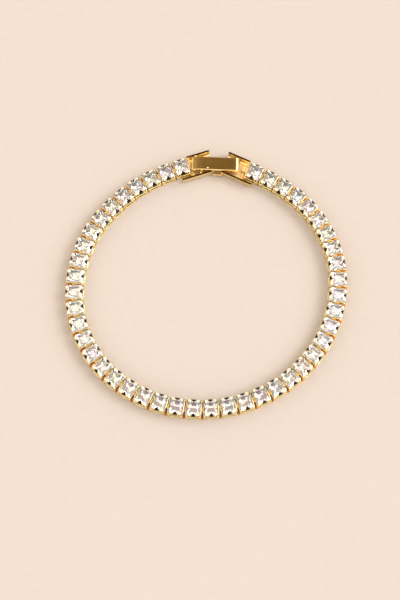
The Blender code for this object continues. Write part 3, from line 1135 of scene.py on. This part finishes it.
    def end_walls(self, form: Form) -> None:
        """Adds the closed end with its rounded rim, and the open end with its two ears and its bar.

        Args:
            form: The form that gets them.
        """
        half, ear_half = self.length / 2, self.ear_width / 2
        inner_width = self.width / 2 - self.wall + self.tuck
        wall_top = self.rim_height - self.recess
        low = (half - self.end_wall, -inner_width, 0.0)
        form.block(low, (half - self.recess, inner_width, wall_top), self.small_ease)
        for end in (-1, 1):
            near, far = sorted((end * (half - self.end_rim_in), end * (half + self.end_rim_out)))
            low = (near, -self.end_rim_half, self.end_rim_low)
            form.block(low, (far, self.end_rim_half, self.end_rim_high), self.end_rim_ease)
            with form.finished(SettingFinish.END):
                self.feet_at(form, end)
        for side in (-1, 1):
            near, far = sorted((side * ear_half, side * inner_width))
            high = (-half + self.end_wall, far, wall_top)
            form.block((-half + self.recess, near, 0.0), high, self.small_ease)
        high = (-half + self.end_wall, ear_half + self.tuck, self.bar_high)
        form.block((-half, -ear_half - self.tuck, self.bar_low), high, self.thick_ease)

    def prongs(self, form: Form) -> None:
        """Adds four prongs: each a narrow post that spreads into a flat head over the stone's edge.

        Args:
            form: The form that gets them.
        """
        for end in (-1, 1):
            for side in (-1, 1):
                rings = []
                for x, y, z, wide, thick, lean in self.PRONG:
                    up, across = math.sin(math.radians(lean)), math.cos(math.radians(lean))
                    corner = (wide / 2, thick / 2)
                    outline = rounded_rectangle((-corner[0], -corner[1]), corner, thick / 2 * 0.95)
                    rings.append([(end * x + a, side * (y + b * across), z + b * up) for a, b in outline])
                form.skin(rings[: self.HEAD_FROM + 1])
                # The heads take the painted highlight
                with form.finished(SettingFinish.HEAD):
                    form.skin(rings[self.HEAD_FROM :])

    def struts(self, form: Form) -> None:
        """Adds the struts that tie each prong to the rim, and the seats under the stone's edge.

        Args:
            form: The form that gets them.
        """
        outer = self.width / 2 - self.lean
        strut_top = self.rim_height + self.strut_rise
        ledge = (
            (-self.seat_half, -self.pit_half, SettingFinish.BOX),
            # The ledge's middle, down in the pit, takes painted shade
            (-self.pit_half, self.pit_half, SettingFinish.PIT),
            (self.pit_half, self.seat_half, SettingFinish.BOX),
        )
        for side in (-1, 1):
            for end in (-1, 1):
                low_x, high_x = sorted((end * self.strut_near, end * self.strut_far))
                low_y, high_y = sorted((side * self.strut_inside, side * (outer - self.recess)))
                form.block((low_x, low_y, self.seat_low), (high_x, high_y, strut_top), self.thick_ease)
            low_y, high_y = sorted((side * self.seat_inside, side * (outer - self.wall + self.seat_root)))
            for low_x, high_x, finish in ledge:
                with form.finished(finish):
                    high = (high_x, high_y, self.seat_high)
                    form.block((low_x, low_y, self.seat_low), high, self.fine_ease)

    def tongue(self, form: Form, finish: int) -> None:
        """Adds the strap that hooks round the next setting's bar.

        Args:
            form: The form that gets it.
            finish: Number of its finish.
        """
        root = self.length / 2 - self.end_wall / 2
        inner = self.pitch - self.length / 2 + self.tongue_past
        outer = inner + self.tongue_sheet
        low, high = self.bar_low - self.tongue_play, self.bar_high + self.tongue_play
        under, over = low - self.tongue_sheet, high + self.tongue_sheet
        outline = [(root, under), (outer, under), (outer, over), (root, over)]
        outline += [(root, high), (inner, high), (inner, low), (root, low)]
        with form.finished(finish):
            form.prism(outline, -self.tongue_half, self.tongue_half, self.small_ease, "xzy")

    def build(self, places: Sequence[Matrix], materials: Sequence[bpy.types.Material]) -> bpy.types.Object:
        """Makes all the settings as one mesh.

        Args:
            places: The links' places.
            materials: The finishes of the box, its ends and tongue, its pits with their painted shade and
                its
            prongs' heads with their painted highlight.

        Returns:
            The settings.
        """
        form = Form()
        for side in (-1, 1):
            self.side_wall(form, side)
        self.end_walls(form)
        self.struts(form)
        self.prongs(form)
        self.tongue(form, SettingFinish.END)
        return form.object_at("box_settings", places, materials)


# The end trays


class TrayEnd(Enum):
    """The two end trays, by the way from each towards the chain along its own x."""

    LEFT = 1
    RIGHT = -1


class TrayFinish(IntEnum):
    """The places of a tray's finishes among its materials."""

    WALL = 0
    INSIDE = 1
    # Painted shade on the walls' upper edges
    EDGE = 2


@dataclass
class EndTray:
    """A folded sheet channel that ties one end of the chain to the clasp.

    Attributes:
        end: Which of the two trays it is.
        outer_side: Distance of the outer wall's outside from the chain's line.
        inner_side: Distance of the inner wall's outside from that line.
        sheet: Thickness of the sheet.
        height: Height of the walls.
        reach: How far floor and inner wall run away from the chain.
        outer_extra: How much further the outer wall runs.
        bend: Outside radius of the bend at each wall's foot.
        pitch: Distance from the chain's last link to the tray's frame.
        link_length: Length of a link.
        overlap: How far the inner wall runs beside the last link.
        outer_gap: How far the outer wall ends before the last link.
        floor_gap: The same for the floor.
        floor_drop: How much the floor's top lies below the sheet's, as the bends rise from it.
        floor_tuck: How far the floor runs into the foot of each wall.
        notch_root: Where the right tray's notch for the last tongue starts.
        notch_half: Half that notch's width.
        hold_wall: Thickness of the left tray's wall with the tongue.
        hold_low: Underside of that wall.
        hold_high: Its top.
        bar_deep: Depth of the right tray's bar.
        pin_radius: Radius of the cross pin.
        pin_height: Height of its axis.
        shank_radius: Radius of the rivet's shank.
        shank_low: Where the shank starts in the floor.
        shank_into: How far the shank runs into the rivet's head.
        head_radius: Radius of the rivet's head.
        head_low: Underside of that head.
        head_high: Its top.
        head_ease: Radius of its edge.
        ease: Radius of the sheet's edges.
        pin_ease: Radius of the edges of floor, pin and shank.
        hold_ease: Radius of the edges of the wall with the tongue.
        bar_ease: Radius of the bar's edges.
        EDGE_BAND: Faces within this of a wall's height belong to its sheared edge, which takes painted
            shade.
        EDGE_UP: They do if their normal also stands up by this share or more.
    """

    end: TrayEnd
    outer_side: float = 2.15
    inner_side: float = 3.15
    sheet: float = 0.4
    height: float = 1.85
    reach: float = 3.15
    outer_extra: float = 0.45
    bend: float = 0.75
    pitch: float = 3.65
    link_length: float = 3.2
    overlap: float = 2.15
    outer_gap: float = 0.3
    floor_gap: float = 0.12
    floor_drop: float = 0.005
    floor_tuck: float = 0.02
    notch_root: float = 0.62
    notch_half: float = 0.67
    hold_wall: float = 0.35
    hold_low: float = 0.1
    hold_high: float = 1.1
    bar_deep: float = 0.45
    pin_radius: float = 0.28
    pin_height: float = 1.3
    shank_radius: float = 0.35
    shank_low: float = 0.2
    shank_into: float = 0.05
    head_radius: float = 0.6
    head_low: float = 1.0
    head_high: float = 1.25
    head_ease: float = 0.12
    ease: float = 0.03
    pin_ease: float = 0.02
    hold_ease: float = 0.06
    bar_ease: float = 0.08

    EDGE_BAND: ClassVar[float] = 0.1
    EDGE_UP: ClassVar[float] = 0.3

    def wall(self, form: Form, side: int, away: float, toward: float) -> None:
        """Adds one wall, bent up from the floor with a round foot.

        Args:
            form: The form that gets it.
            side: 1 for the wall inside the loop, -1 for the one outside.
            away: How far it runs away from the chain.
            toward: How far it runs towards the chain.
        """
        out = self.inner_side if side > 0 else self.outer_side
        turns = sweep(math.pi / 2, 5)
        outer = [(out - self.bend * (1 - math.cos(t)), self.bend * (1 - math.sin(t))) for t in turns]
        tight, centre = self.bend - self.sheet, out - self.bend
        inner = [(centre + tight * math.cos(t), self.bend - tight * math.sin(t)) for t in reversed(turns)]
        section = [(out, self.height), *outer, *inner, (out - self.sheet, self.height)]
        low, high = sorted((-self.end.value * away, self.end.value * toward))
        start = len(form.faces)
        form.prism([(side * y, z) for y, z in section], low, high, self.ease, "yzx")
        # Up-facing faces along the wall's top take the edge's painted shade
        edge_from = self.height - self.EDGE_BAND
        form.refinish(
            start, TrayFinish.EDGE, lambda normal, top: normal.z > self.EDGE_UP and top > edge_from
        )

    def channel(self, form: Form) -> None:
        """Adds the two walls, and the satin floor, which is notched for the chain's last tongue.

        Args:
            form: The form that gets them.
        """
        way = self.end.value
        chain_end = self.pitch - self.link_length / 2
        self.wall(form, -1, self.reach + self.outer_extra, chain_end - self.outer_gap)
        self.wall(form, 1, self.reach, chain_end + self.overlap)
        foot = self.bend - self.floor_tuck
        inside, outside = self.inner_side - foot, -self.outer_side + foot
        away, toward = -way * self.reach, way * (chain_end - self.floor_gap)
        outline = [(away, outside), (toward, outside), (toward, inside), (away, inside)]
        if self.end is TrayEnd.RIGHT:
            root, notch = way * self.notch_root, self.notch_half
            outline[2:2] = [(toward, -notch), (root, -notch), (root, notch), (toward, notch)]
        with form.finished(TrayFinish.INSIDE):
            form.prism(outline, 0.0, self.sheet - self.floor_drop, self.pin_ease)

    def across(self) -> Flat:
        """Tells from where to where a part runs that is let into both walls."""
        return -self.outer_side + self.sheet / 2, self.inner_side - self.sheet / 2

    def chain_hold(self, form: Form, setting: BoxSetting) -> None:
        """Adds what the last link is hooked to: a wall with a tongue, or a bar.

        Args:
            form: The form that gets it.
            setting: The settings, whose tongue or bar the tray repeats.
        """
        half = self.link_length / 2
        low_y, high_y = self.across()
        with form.finished(TrayFinish.INSIDE):
            if self.end is TrayEnd.LEFT:
                low = (half - self.hold_wall, low_y, self.hold_low)
                form.block(low, (half, high_y, self.hold_high), self.hold_ease)
                setting.tongue(form, TrayFinish.INSIDE)
            else:
                high = (-half + self.bar_deep, high_y, setting.bar_high)
                form.block((-half, low_y, setting.bar_low), high, self.bar_ease)

    def clasp_hold(self, form: Form, x: float, y: float) -> None:
        """Adds what the clasp is held by: the cross pin, or the headed rivet.

        Args:
            form: The form that gets it.
            x: Its place along the tray.
            y: The rivet's place across the tray.
        """
        if self.end is TrayEnd.LEFT:
            low_y, high_y = self.across()
            start, end = (x, low_y, self.pin_height), (x, high_y, self.pin_height)
            form.rod(start, end, self.pin_radius, self.pin_ease)
        else:
            foot, joint = (x, y, self.shank_low), (x, y, self.head_low + self.shank_into)
            form.rod(foot, joint, self.shank_radius, self.pin_ease)
            under, over = (x, y, self.head_low), (x, y, self.head_high)
            form.rod(under, over, self.head_radius, self.head_ease, sides=20)

    def build(
        self,
        place: Matrix,
        hold: Flat,
        setting: BoxSetting,
        materials: Sequence[bpy.types.Material],
    ) -> bpy.types.Object:
        """Makes the tray.

        Args:
            place: The tray's frame.
            hold: Where the cross pin or the rivet stands in that frame.
            setting: The settings, whose tongue or bar the tray repeats.
            materials: The finishes of its walls, of its floor and of its walls' upper edges, the last
                painted shade.

        Returns:
            The tray.
        """
        form = Form()
        self.channel(form)
        self.chain_hold(form, setting)
        self.clasp_hold(form, *hold)
        name = f"tray_{self.end.name.lower()}_sheet"
        return form.object_at(name, [place], materials, place)


# The clasp


class BarFinish(IntEnum):
    """The places of the bar's finishes among its materials."""

    FACE = 0
    FOLD = 1
    HEEL = 2


class PipRing(NamedTuple):
    """A ring of the small raised pip.

    Attributes:
        rise: How far it lies above the bar's face.
        share: Its radius as a share of the pip's.
    """

    rise: float
    share: float


@dataclass
class ClaspBar:
    """The flat brushed bar that folds over the trays and turns on the hinge pin.

    Heights are measured from the hinge's axis and lengths from it along the bar.

    Attributes:
        top: Height of the bar's face.
        sheet: Thickness of its sheet.
        width: Width of the bar.
        back_extra: How much wider its back half is.
        lip: Depth of the lips along its sides and end.
        bend: Radius of the bend between face and lips.
        nose_run: Length of the curved nose.
        nose_drop: How far the nose comes down.
        nose_lip: How far the lips stand below the sheet at the nose's tip.
        heel_round: Radius of the fold at the hinge end.
        heel_narrow: Share of its width that the bar loses over that fold.
        ear_near: Where each ear starts, across the bar.
        ear_far: Where each ear ends.
        ear_radius: Radius of the ears round the pin.
        under_face: How far below the face the ears and the rib end, inside the sheet.
        rib: Half the length and half the width of the rib over the hook's pin.
        rib_low: Underside of that rib.
        pip: Place of the small raised pip, from the nose and from the near edge.
        pip_radius: Radius of that pip.
        ease: Radius of the small edges.
        FACE_BAND: Heights within this of the face belong to it and not to the lips.
        LEVEL: Upward share of a normal from which a face counts as level.
        HEEL_LEVEL: The same on the heel, where only the very top stays brushed.
        BACK_BEND: Normals of the bend along the back turn outwards by this share and stand up by
            the next one or more, and it stays as brushed as the face.
        BACK_UP: That second share.
        BEND_SHARE: The most of the lips' depth that their bend takes up.
        NOSE_STEPS: Straight pieces of the nose's curve.
        HEEL_STEPS: Straight pieces of the fold.
        PIP: The pip's rings, from inside the sheet to its top.
    """

    top: float = 1.1
    sheet: float = 0.3
    width: float = 3.07
    back_extra: float = 0.1
    lip: float = 0.6
    bend: float = 0.2
    nose_run: float = 3.4
    nose_drop: float = 0.62
    nose_lip: float = 0.02
    heel_round: float = 0.76
    heel_narrow: float = 0.03
    ear_near: float = 0.95
    ear_far: float = 1.3
    ear_radius: float = 0.5
    under_face: float = 0.15
    rib: Flat = (0.3, 0.7)
    rib_low: float = 0.25
    pip: Flat = (3.62, 0.46)
    pip_radius: float = 0.2
    ease: float = 0.05

    FACE_BAND: ClassVar[float] = 0.1
    LEVEL: ClassVar[float] = 0.9
    HEEL_LEVEL: ClassVar[float] = 0.985
    BACK_BEND: ClassVar[float] = 0.6
    BACK_UP: ClassVar[float] = 0.05
    BEND_SHARE: ClassVar[float] = 0.9
    NOSE_STEPS: ClassVar[int] = 8
    HEEL_STEPS: ClassVar[int] = 6
    PIP: ClassVar[tuple[PipRing, ...]] = (
        PipRing(rise=-0.1, share=1.0),
        PipRing(rise=-0.004, share=1.0),
        PipRing(rise=0.03, share=0.86),
        PipRing(rise=0.055, share=0.6),
        PipRing(rise=0.068, share=0.3),
        PipRing(rise=0.07, share=0.05),
    )

    def outside(self, top: float, bottom: float, bend: float) -> list[Flat]:
        """Lists the outside of the bar's section, from one lip over the face to the other.

        Args:
            top: Height of the face there.
            bottom: Height of the lips' lower edge there.
            bend: Radius of the bend there.

        Returns:
            Points as (across, up).
        """
        half = self.width / 2
        turns = sweep(math.pi / 2, 4)
        right = [(half - bend + bend * math.cos(t), top - bend + bend * math.sin(t)) for t in turns]
        left = [(-y, z) for y, z in reversed(right)]
        section = [(half, bottom), *right, *left, (-half, bottom)]
        return [(y + self.back_extra if y > 0 else y, z) for y, z in section]

    def shell(self, form: Form, nose: float, heel: float) -> None:
        """Adds the folded sheet from the nose up to the fold at the heel.

        Args:
            form: The form that gets it.
            nose: Where the bar starts.
            heel: Where it ends.
        """
        half = self.width / 2
        inner_half = half - self.sheet
        tip_lip = self.sheet + self.nose_lip
        stations = []
        for i in range(self.NOSE_STEPS + 1):
            share = i / self.NOSE_STEPS
            turn = math.pi / 2 * (1 - share)
            x = nose + self.nose_run * (1 - math.sin(turn))
            top = self.top - self.nose_drop * (1 - math.cos(turn))
            stations.append((x, top, tip_lip + (self.lip - tip_lip) * share))
        stations.append((heel - self.heel_round, self.top, self.lip))
        rings = []
        for number, (x, top, lip) in enumerate(stations):
            section = self.outside(top, top - lip, min(self.bend, lip * self.BEND_SHARE))
            section += [(-inner_half, top - lip), (-inner_half, top - self.sheet)]
            section += [(inner_half, top - self.sheet), (inner_half, top - lip)]
            if number == 0:
                narrow, face_from = 1 - self.ease / half, top - self.FACE_BAND
                eased_down = [(y, z - self.ease if z > face_from else z) for y, z in section]
                rings.append([(x, y * narrow, z) for y, z in eased_down])
                x += self.ease
            rings.append([(x, y, z) for y, z in section])
        start = len(form.faces)
        form.skin(rings)
        form.refinish(start, BarFinish.FOLD, self.is_fold)

    def is_fold(self, normal: Vector, _: float) -> bool:
        """Tells from its normal if a face is one of the polished bends or lips."""
        brushed_bend = normal.y >= self.BACK_BEND and normal.z >= self.BACK_UP
        return abs(normal.z) < self.LEVEL and not brushed_bend

    def heel_fold(self, form: Form, heel: float) -> None:
        """Adds the rounded fold that closes the bar above its hinge.

        Args:
            form: The form that gets it.
            heel: Where the bar ends.
        """
        rings = []
        bottom = self.top - self.lip
        for turn in sweep(math.pi / 2, self.HEEL_STEPS):
            x = heel - self.heel_round * (1 - math.sin(turn))
            top = self.top - self.heel_round * (1 - math.cos(turn))
            bend = min(self.bend, (top - bottom) * self.BEND_SHARE)
            squeeze = 1 - self.heel_narrow * (1 - math.cos(turn))
            rings.append([(x, y * squeeze, z) for y, z in self.outside(top, bottom, bend)])
        start = len(form.faces)
        with form.finished(BarFinish.HEEL):
            form.skin(rings)
        form.refinish(start, BarFinish.FACE, lambda normal, _: normal.z > self.HEEL_LEVEL)

    def hinge_ears(self, form: Form) -> None:
        """Adds the two ears that hang on the hinge pin.

        Args:
            form: The form that gets them.
        """
        round_half = [math.pi + turn for turn in sweep(math.pi, 8)]
        outline = [(self.ear_radius * math.cos(t), self.ear_radius * math.sin(t)) for t in round_half]
        ear_top = self.top - self.under_face
        outline += [(self.ear_radius, ear_top), (-self.ear_radius, ear_top)]
        for side in (-1, 1):
            low, high = sorted((side * self.ear_near, side * self.ear_far))
            form.prism(outline, low, high, self.ease, "xzy")

    def details(self, form: Form, nose: float, hook: float) -> None:
        """Adds the rib over the hook's pin and the small pip on the face.

        Args:
            form: The form that gets them.
            nose: Where the bar starts.
            hook: Where the hook's pin lies along the bar.
        """
        long, wide = self.rib
        high = (hook + long, wide, self.top - self.under_face)
        form.block((hook - long, -wide, self.rib_low), high, self.ease)
        x = nose + self.pip[0]
        y = -self.width / 2 + self.pip[1]
        turns = sweep(2 * math.pi, 16)[:-1]
        rings = []
        for rise, share in self.PIP:
            width, height = self.pip_radius * share, self.top + rise
            rings.append([(x + width * math.cos(t), y + width * math.sin(t), height) for t in turns])
        with form.finished(BarFinish.FOLD):
            form.skin(rings)

    def build(
        self,
        node: bpy.types.Object,
        hinge: Matrix,
        hook: float,
        materials: Sequence[bpy.types.Material],
    ) -> bpy.types.Object:
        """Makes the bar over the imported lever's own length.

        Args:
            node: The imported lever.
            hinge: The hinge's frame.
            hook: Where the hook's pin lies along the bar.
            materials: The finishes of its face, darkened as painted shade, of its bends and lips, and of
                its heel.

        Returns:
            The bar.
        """
        back = hinge.inverted()
        reach = [(back @ vertex.co).x / MM for vertex in node.data.vertices]
        nose, heel = min(reach), max(reach)
        form = Form()
        self.shell(form, nose, heel)
        self.heel_fold(form, heel)
        self.hinge_ears(form)
        self.details(form, nose, hook)
        return form.object_at("clasp_bar", [hinge], materials, hinge)


@dataclass
class BaseWing:
    """The front of the base's leaf, which closes the gap between the two trays' inner walls.

    Attributes:
        half_neck: Half its width where it comes out between the walls.
        half_front: Half its width at its front.
        front: How far it reaches into the loop.
        splay: Where it has its full width.
        neck: Where it starts to widen.
        back: Where it starts under the bar.
        low: Its underside.
        high: Its top.
        ease: Radius of its edges.
    """

    half_neck: float = 0.6
    half_front: float = 1.0
    front: float = 2.06
    splay: float = 1.86
    neck: float = 1.66
    back: float = 1.2
    low: float = 0.5
    high: float = 0.86
    ease: float = 0.06

    def build(self, hinge: Matrix, middle: float, material: bpy.types.Material) -> bpy.types.Object:
        """Makes the wing.

        Args:
            hinge: The hinge's frame.
            middle: Where its middle lies along the clasp.
            material: Its finish.

        Returns:
            The wing.
        """
        form = Form()
        right = [
            (self.half_front, -self.front),
            (self.half_front, -self.splay),
            (self.half_neck, -self.neck),
            (self.half_neck, -self.back),
        ]
        outline = [(middle + x, y) for x, y in right]
        outline += [(middle - x, y) for x, y in reversed(right)]
        form.prism(outline, self.low, self.high, self.ease)
        place = hinge.copy()
        place.translation.z = 0
        return form.object_at("base_wing", [place], [material], place)


# The studio


@dataclass(frozen=True)
class RoomSpot:
    """An oval part of the room as seen from the bracelet.

    Attributes:
        side: Where its middle stands, in degrees from the right towards the back.
        up: How high its middle stands, in degrees.
        half_width: Half its width, as a share of its distance.
        half_height: Half its height, likewise.
        soft: Share of its size over which its edge fades.
    """

    side: float
    up: float
    half_width: float
    half_height: float
    soft: float


def direction(side_deg: float, up_deg: float) -> Vector:
    """Tells which way a place in the room lies.

    Args:
        side_deg: Degrees from the right towards the back.
        up_deg: Degrees above the paper.

    Returns:
        The direction, one unit long.
    """
    side, up = math.radians(side_deg), math.radians(up_deg)
    return Vector((math.cos(side) * math.cos(up), math.sin(side) * math.cos(up), math.sin(up)))


@dataclass
class Studio:
    """A sheet of pale paper, soft lights and the camera at the photograph's angle.

    Attributes:
        looks_at: The point on the paper in the middle of the picture.
        elevation: The camera's height angle in degrees.
        distance: From the camera to that point.
        lens: Its focal length.
        sensor: Width of its sensor.
        nearest: Nothing nearer to it than this is drawn.
        floor_half: Half the width of the paper.
        window_side: Where the window stands, in degrees from the right towards the back.
        window_up: How high it stands.
        window_width: How wide it looks, in degrees.
        window_power: Its strength.
        window_colour: Its light's hex colour, a little bluer than the room's.
        room_power: Brightness of the white ceiling.
        room_colour: Hex colour of the walls and the ceiling.
        dark_colour: Hex colour of the room's dark parts.
        wall_share: Brightness of the walls' foot, as a share of the ceiling's.
        wall_top: Where the walls' foot has faded into the ceiling, as the sine of the height angle.
        window_glare: Brightness of the second window.
        dark_behind: The dark part of the ceiling, which every level surface mirrors.
        dark_front: The dark part of the room low behind the camera.
        side_window: The second window.
    """

    looks_at: Flat = (-1.39, -4.17)
    elevation: float = 72.0
    distance: float = 261.2
    lens: float = 72.0
    sensor: float = 36.0
    nearest: float = 5.0
    floor_half: float = 900.0
    window_side: float = 6.0
    window_up: float = 37.0
    window_width: float = 34.0
    window_power: float = 2.1
    window_colour: str = "#E8F0FF"
    room_power: float = 1.74
    room_colour: str = "#FFF4E5"
    dark_colour: str = "#8A7664"
    wall_share: float = 0.5
    wall_top: float = 0.6
    window_glare: float = 4.8
    dark_behind: RoomSpot = RoomSpot(side=90.0, up=71.0, half_width=0.36, half_height=0.32, soft=0.2)
    dark_front: RoomSpot = RoomSpot(side=-90.0, up=4.0, half_width=0.6, half_height=0.22, soft=0.3)
    side_window: RoomSpot = RoomSpot(side=34.0, up=40.0, half_width=0.24, half_height=0.24, soft=0.3)

    def camera(self) -> None:
        """Adds the camera and makes it the scene's own."""
        data = bpy.data.cameras.new("camera")
        data.lens = self.lens
        data.sensor_width = self.sensor
        data.clip_start = self.nearest * MM
        camera = bpy.data.objects.new("camera", data)
        bpy.context.scene.collection.objects.link(camera)
        turn = math.radians(self.elevation)
        target = Vector((*self.looks_at, 0.0))
        camera.location = (target + self.distance * Vector((0, -math.cos(turn), math.sin(turn)))) * MM
        camera.rotation_euler = (math.pi / 2 - turn, 0.0, 0.0)
        bpy.context.scene.camera = camera

    def window_light(self) -> None:
        """Adds the soft light of a wide window to the right, as a sun with a broad disc."""
        data = bpy.data.lights.new("window_light", "SUN")
        data.angle = math.radians(self.window_width)
        data.energy = self.window_power
        data.color = linear(self.window_colour)[:3]
        light = bpy.data.objects.new("window_light", data)
        bpy.context.scene.collection.objects.link(light)
        toward = direction(self.window_side, self.window_up)
        light.rotation_euler = toward.to_track_quat("Z", "Y").to_euler()

    def patch(
        self, tree: bpy.types.NodeTree, place: bpy.types.NodeSocket, spot: RoomSpot
    ) -> bpy.types.NodeSocket:
        """Marks out an oval part of the room.

        Args:
            tree: The world's node tree.
            place: The direction of view.
            spot: The part of the room.

        Returns:
            A socket that gives 0 inside the oval and 1 outside.
        """
        aim = direction(spot.side, spot.up)
        turned = add_node(
            tree,
            "ShaderNodeMapping",
            values={"Rotation": aim.to_track_quat("Y", "Z").inverted().to_euler("XYZ")},
            links={"Vector": place},
        )
        squeezed = add_node(
            tree,
            "ShaderNodeMapping",
            values={"Scale": (1 / spot.half_width, 0.0, 1 / spot.half_height)},
            links={"Vector": turned.outputs["Vector"]},
        )
        away = add_node(
            tree, "ShaderNodeVectorMath", {"operation": "LENGTH"}, links={0: squeezed.outputs["Vector"]}
        )
        edge = add_node(
            tree,
            "ShaderNodeMapRange",
            {"interpolation_type": "SMOOTHSTEP"},
            values={"From Min": 1 - spot.soft, "From Max": 1.0},
            links={"Value": away.outputs["Value"]},
        )
        return edge.outputs["Result"]

    def world(self) -> None:
        """Adds the room: white walls and ceiling all round, two dark parts and a bright window.

        The dark parts show only where the bracelet mirrors them, and not as a backdrop.
        """
        world = bpy.data.worlds.new("studio")
        world.use_nodes = True
        bpy.context.scene.world = world
        tree = world.node_tree
        background = tree.nodes["Background"]
        place = add_node(tree, "ShaderNodeTexCoord").outputs["Generated"]
        behind = self.patch(tree, place, self.dark_behind)
        front = self.patch(tree, place, self.dark_front)
        window = self.patch(tree, place, self.side_window)
        darkness = add_node(tree, "ShaderNodeMath", {"operation": "MULTIPLY"}, links={0: behind, 1: front})
        direct = add_node(tree, "ShaderNodeLightPath").outputs["Is Camera Ray"]
        shown = add_node(
            tree,
            "ShaderNodeMath",
            {"operation": "MAXIMUM"},
            links={0: darkness.outputs["Value"], 1: direct},
        )
        room = add_node(
            tree,
            "ShaderNodeValToRGB",
            links={"Fac": shown.outputs["Value"]},
            stops=((0.0, self.dark_colour), (1.0, self.room_colour)),
        )
        power = add_node(
            tree,
            "ShaderNodeMapRange",
            values={"To Min": self.window_glare, "To Max": self.room_power},
            links={"Value": window},
        )
        height = add_node(tree, "ShaderNodeSeparateXYZ", links={"Vector": place})
        ceiling = add_node(
            tree,
            "ShaderNodeMapRange",
            values={"From Max": self.wall_top, "To Min": self.wall_share},
            links={"Value": height.outputs["Z"]},
        )
        strength = add_node(
            tree,
            "ShaderNodeMath",
            {"operation": "MULTIPLY"},
            links={0: power.outputs["Result"], 1: ceiling.outputs["Result"]},
        )
        tree.links.new(room.outputs["Color"], background.inputs["Color"])
        tree.links.new(strength.outputs["Value"], background.inputs["Strength"])

    def paper(self, material: bpy.types.Material) -> None:
        """Adds the flat sheet of paper that the bracelet lies on.

        Args:
            material: Its finish.
        """
        half = self.floor_half * MM
        mesh = bpy.data.meshes.new("paper")
        corners = [(-half, -half, 0), (half, -half, 0), (half, half, 0), (-half, half, 0)]
        mesh.from_pydata(corners, [], [(0, 1, 2, 3)])
        mesh.materials.append(material)
        sheet = bpy.data.objects.new("paper", mesh)
        bpy.context.scene.collection.objects.link(sheet)

    def build(self) -> None:
        """Sets up the whole studio."""
        self.paper(PALE_PAPER.build())
        self.camera()
        self.world()
        self.window_light()
        bpy.context.scene.view_settings.view_transform = "Standard"
        LOG.info("studio: camera %.1f mm away at %.0f degrees", self.distance, self.elevation)


# Assembly

# Millimetres: where the hook's pin stands in the left tray, where the rivet stands along the clasp,
# and how far across it the leaf's front lies
HOOK_PIN = (-0.33, 0.5)
RIVET_X = -1.6
LEAF_FRONT = -1.4


def dress_node(node: bpy.types.Object, material: bpy.types.Material) -> None:
    """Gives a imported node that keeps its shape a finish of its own.

    Args:
        node: The node.
        material: Its finish.
    """
    node.data.materials.clear()
    node.data.materials.append(material)
    LOG.info("%s: keeps its packed shape", node.name)


def main() -> None:
    """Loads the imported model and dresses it, sub-assembly by sub-assembly."""
    logging.basicConfig(level=logging.INFO, format="%(name)s: %(message)s")
    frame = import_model()
    nodes = frame["nodes"]
    joint = frame["joints"][0]
    names = sorted(name for name in nodes if name.startswith("link_"))
    places = [link_place(nodes[name]) for name in names]

    setting = BoxSetting()
    before = places[0] @ Matrix.Translation((-setting.pitch * MM, 0, 0))
    after = places[-1] @ Matrix.Translation((setting.pitch * MM, 0, 0))
    hinge = upright_frame(Vector(joint["pos_m"]), Vector(joint["axis"]).cross(Vector((0, 0, 1))))
    hook_place = before @ Vector((HOOK_PIN[0] * MM, HOOK_PIN[1] * MM, 0))
    hook = (hinge.inverted() @ hook_place).x / MM
    rivet_place = after.inverted() @ hinge @ Vector((RIVET_X * MM, 0, 0))
    rivet = (rivet_place.x / MM, rivet_place.y / MM)

    setting_gold = SETTING_GOLD.build()
    tray_gold = TRAY_GOLD.build()
    satin_gold = SATIN_GOLD.build()
    stones = StoneCut().build(places, (CLEAR_STONE.build(), SHADE_PAINTED_FACET.build()))
    settle(stones, joint["parent"], ())
    bar_shade_gold = BAR_SHADE_GOLD.build()
    setting_finishes = (setting_gold, satin_gold, PIT_SHADE_GOLD.build(), HEAD_HIGHLIGHT_GOLD.build())
    settle(setting.build(places, setting_finishes), joint["parent"], names)
    tray_finishes = (tray_gold, satin_gold, EDGE_SHADE_GOLD.build())
    left = EndTray(TrayEnd.LEFT).build(before, HOOK_PIN, setting, tray_finishes)
    settle(left, joint["parent"], ("tray_left",))
    right = EndTray(TrayEnd.RIGHT).build(after, rivet, setting, tray_finishes)
    settle(right, joint["parent"], ("tray_right",))
    bar_finishes = (bar_shade_gold, tray_gold, setting_gold)
    bar = ClaspBar().build(nodes["clasp_lever"], hinge, hook, bar_finishes)
    settle(bar, joint["child"], ("clasp_lever",))
    leaf = [(hinge.inverted() @ vertex.co) / MM for vertex in nodes["clasp_base"].data.vertices]
    front = [corner.x for corner in leaf if corner.y < LEAF_FRONT]
    wing = BaseWing().build(hinge, (min(front) + max(front)) / 2, satin_gold)
    settle(wing, joint["parent"], ())
    dress_node(nodes["clasp_base"], satin_gold)
    dress_node(nodes["hinge_pin"], PIN_GOLD.build())

    Studio().build()


if __name__ == "__main__":
    main()
